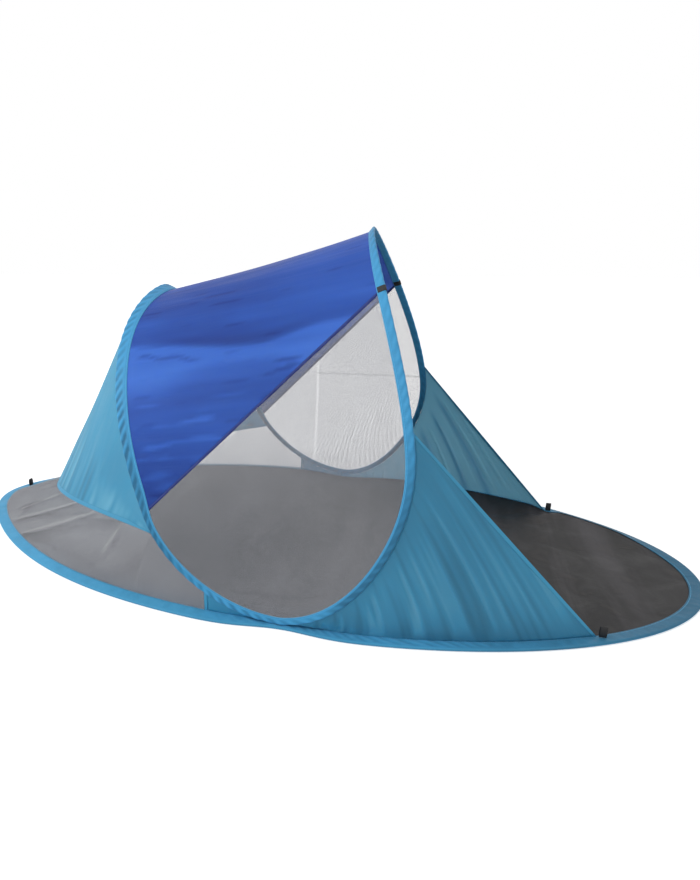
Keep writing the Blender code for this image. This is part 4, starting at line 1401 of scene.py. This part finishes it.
class TENT_OT_wings(TentPiece, bpy.types.Operator):
    """Make the two wings of the porch with their hems"""

    bl_idname = "tent.wings"
    bl_label = "Wings"

    def make(self, sizes):
        _, bend, opened = branches()
        top_step = nearest_height(opened, WING_TOP_HEIGHT)
        run = refined(opened[top_step:] + list(reversed(bend[2 * BEND_STEPS // 3:-1])))
        shares = even_shares(run, WING_ROWS + 1)
        last = len(run) - 1
        for side, seed in zip(SIDES, (21.0, 27.0)):
            feet = seam_between(seam_line(side), CROSSING_X + WING_FOOT_X, run[-1].point.x, last)
            columns = [column(edge_away(s, f), f, WING_ROWS) for s, f in zip(run, feet)]

            def across(i, j):
                """How many steps a place is across the streaks, which lean on their way down."""
                return i - STREAK_LEAN * last * j / WING_ROWS

            def streak(i, j):
                """Long soft folds between the sleeve and the foot, where the cloth is pulled tight."""
                part = j / WING_ROWS
                fine = 0.8 * patches(0.0, 0.40, across(i, j) * 0.28, part * 0.7, seed)
                broad = 0.5 * patches(0.05, 0.50, across(i, j) * 0.10, part * 0.9, seed + 9)
                return plateau(part, 0.02, 0.22, 0.80, 0.99) * (fine + broad)

            def push(i, j):
                broad = soft(i * 0.02, j * 0.012, seed + 1)
                edge = arc(i / last, 0.5) * arc(j / WING_ROWS, 0.8)
                return sizes.wing_fold * edge * (1.2 * broad + 1.1 * streak(i, j))

            # Painted light and shade: the rear wing, seen from inside, is painted light all over with three
            # darker lines down it; the front wing is painted light on its streak folds, painted shade in
            # the dips between them and over the whole wing, and is darker towards the foot. Both get a slow
            # random change.
            def tone(i, j):
                part, uneven = j / WING_ROWS, 0.20 * soft(i * 0.03, j * 0.03, seed + 6)
                if side == "rear":
                    lines = sum(bell(across(i, j) / last, line, 0.018) for line in REAR_WING_LINES)
                    return 0.95 - 0.75 * lines * smooth(part, 0.04, 0.20) + uneven
                dips = 0.30 * smooth(-soft(across(i, j) * 0.28, part * 0.7, seed), 0.1, 0.5)
                return 0.50 * streak(i, j) - dips - 0.18 - 0.25 * smooth(part, 0.55, 1.0) + uneven

            shape = pushed(columns, push)
            if side == "rear":
                shape = flipped(shape)
            build = grid(shape, shares=shares, tones=each(columns, tone))
            made = piece("wing_cloth_" + side, build, "panel_cloth", PANEL)
            fold_between(made)
            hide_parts("wing_" + side)
            inner = shape[WING_HEM_STEPS]
            hem = strip("wing_hem_" + side, shape[0], inner, WING_HEM_WIDTH, shares[0])
            fold_between(hem)


def webbing_section(width):
    """A flat band with rounded edges as (across, up) places round it."""
    half, rounding = width / 2, WEBBING_THICKNESS / 2
    places = []
    for centre, start in ((half - rounding, -90), (-half + rounding, 90)):
        for step in range(EDGE_STEPS + 1):
            angle = math.radians(start + 180 * step / EDGE_STEPS)
            places.append((centre + rounding * math.cos(angle), rounding * math.sin(angle)))
    return places


def band(name, path, across, width, closed):
    """Webbing that lies across the given direction all along its path."""
    rows, places, run = [], [], 0.0
    count = len(path)
    for i in range(count + 1 if closed else count):
        here = path[i % count]
        ahead = path[(i + 1) % count] if closed or i < count - 1 else here
        behind = path[i - 1] if closed or i else here
        up = across.cross((ahead - behind).normalized()).normalized()
        if i:
            run += (here - path[(i - 1) % count]).length
        row = [here + across * a + up * b for a, b in webbing_section(width)]
        place = [(run, a) for a, b in webbing_section(width)]
        rows.append(row + row[:1])
        places.append(place + place[:1])
    build = grid(rows, places)
    if not closed:
        edges = [e for e in build.edges if e.is_boundary]
        bmesh.ops.holes_fill(build, edges=edges, sides=0)
    return piece(name, build, "webbing")


class TENT_OT_webbing(TentPiece, bpy.types.Operator):
    """Make the three peg loops and the two straps at the roof's corners"""

    bl_idname = "tent.webbing"
    bl_label = "Webbing"

    def make(self, sizes):
        for node, body in LOOP_BODIES.items():
            low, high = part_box(node)
            middle, span = (low + high) / 2, high - low
            across = BACK if span.y > span.x else Vector((1, 0, 0))
            outward = across.cross(UP)
            half = (abs(span.dot(outward)) - WEBBING_THICKNESS) / 2
            rise = (span.z - WEBBING_THICKNESS) / 2
            path = []
            for step in range(LOOP_STEPS):
                angle = 2 * math.pi * step / LOOP_STEPS
                path.append(middle + outward * half * math.cos(angle) + UP * rise * math.sin(angle))
            made = band(node + "_band", path, across, abs(span.dot(across)), True)
            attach(made, body)
            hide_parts(node)
        opened = branches()[2]
        station = opened[nearest_height(opened, OPEN_ARCH_HEIGHT - ROOF_OPEN_DROP)]
        for side, here in zip(SIDES, (station, station.mirrored())):
            reach, radius = here.width - STRAP_SETBACK, SLEEVE_RADIUS + STRAP_CLEAR
            line = pocket_line(reach, radius, STRAP_RISE, -STRAP_RISE, flap_steps=5)
            path = [here.point + here.inward * place.x + here.side() * place.y for place in line]
            made = band("roof_strap_" + side + "_band", path, here.along, STRAP_WIDTH, False)
            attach(made, "open_half")
            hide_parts("roof_strap_" + side)


class TENT_OT_steel(TentPiece, bpy.types.Operator):
    """Give the wires and their crimped tubes drawn spring steel"""

    bl_idname = "tent.steel"
    bl_label = "Hoop Steel"

    def make(self, sizes):
        for name, node in frame["nodes"].items():
            if "wire" in name:
                node.data.materials.clear()
                node.data.materials.append(look("hoop_steel"))


class TENT_OT_stage(TentPiece, bpy.types.Operator):
    """Make the studio ground, its light and the camera"""

    bl_idname = "tent.stage"
    bl_label = "Stage"

    def make(self, sizes):
        scene = bpy.context.scene
        scene.view_settings.view_transform = "Standard"
        build = bmesh.new()
        bmesh.ops.create_grid(build, x_segments=1, y_segments=1, size=GROUND_SIZE)
        ground = placed("studio_ground", mesh_from("studio_ground", build))
        ground.location.z = -GROUND_DROP
        made, tree, shader = new_look("studio_ground", scene.tent_colours.ground, 0.9, Emission_Color=WHITE)
        grain = add(tree, "ShaderNodeTexNoise", {"Scale": 3.0}).outputs[0]
        seen = add(tree, "ShaderNodeLightPath").outputs["Is Camera Ray"]
        feed(tree, shader, Base_Color=mixed(tree, grain, scaled(WHITE[:3], 0.89), scaled(WHITE[:3], 0.91)),
             Emission_Strength=ramp(tree, seen, 0.0, 1.0, 0.0, GROUND_GLOW))
        ground.data.materials.append(made)
        self.light(scene)
        self.camera(scene)

    def light(self, scene):
        scene.world = bpy.data.worlds.new("studio")
        scene.world.use_nodes = True
        tree = scene.world.node_tree
        back = tree.nodes["Background"]
        path = add(tree, "ShaderNodeLightPath").outputs
        seen = maths(tree, "MAXIMUM", path["Is Glossy Ray"], path["Is Transmission Ray"])
        seen = maths(tree, "MAXIMUM", path["Is Camera Ray"], seen)
        feed(tree, back, Strength=ramp(tree, seen, 0.0, 1.0, SKY_STRENGTH, 1.0))
        back.inputs["Color"].default_value = WHITE
        panel = bpy.data.lights.new("soft_panel", "AREA")
        panel.energy = LAMP_POWER
        panel.size = LAMP_SIZE
        lamp = placed("soft_panel", panel)
        lamp.location = LAMP_PLACE
        away = Vector(LAMP_PLACE) - Vector(LAMP_TARGET)
        lamp.rotation_euler = away.to_track_quat("Z", "Y").to_euler()

    def camera(self, scene):
        data = bpy.data.cameras.new("photo_view")
        data.sensor_width = CAMERA_SENSOR
        data.lens = CAMERA_LENS
        data.shift_x = CAMERA_SHIFT
        data.clip_start = 0.05
        forward = Vector(CAMERA_AIM).normalized()
        right = forward.cross(UP).normalized()
        turned = Matrix((right, right.cross(forward), -forward)).transposed().to_4x4()
        turned.translation = Vector(CAMERA_PLACE)
        scene.camera = placed("photo_view", data)
        scene.camera.matrix_world = turned


OPERATORS = (TENT_OT_floor, TENT_OT_binding, TENT_OT_arch, TENT_OT_canopy, TENT_OT_closed_end,
             TENT_OT_wings, TENT_OT_webbing, TENT_OT_steel, TENT_OT_stage)


class TENT_PT_sidebar(bpy.types.Panel):
    """Lists the tent's settings and the operators that build it"""

    bl_label = "Beach Tent"
    bl_idname = "TENT_PT_sidebar"
    bl_space_type = "VIEW_3D"
    bl_region_type = "UI"
    bl_category = "Tent"

    def draw(self, context):
        layout = self.layout
        for settings in (context.scene.tent_sizes, context.scene.tent_colours):
            for key in settings.bl_rna.properties.keys():
                if key not in ("rna_type", "name"):
                    layout.prop(settings, key)
        for operator in OPERATORS:
            layout.operator(operator.bl_idname)


CLASSES = (TentSizes, TentColours, *OPERATORS, TENT_PT_sidebar)


def register():
    for made in CLASSES:
        bpy.utils.register_class(made)
    bpy.types.Scene.tent_sizes = PointerProperty(type=TentSizes)
    bpy.types.Scene.tent_colours = PointerProperty(type=TentColours)


def unregister():
    del bpy.types.Scene.tent_colours
    del bpy.types.Scene.tent_sizes
    for made in reversed(CLASSES):
        bpy.utils.unregister_class(made)


def main():
    register()
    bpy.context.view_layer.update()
    for operator in OPERATORS:
        family, name = operator.bl_idname.split(".")
        getattr(getattr(bpy.ops, family), name)()


if __name__ == "__main__":
    main()
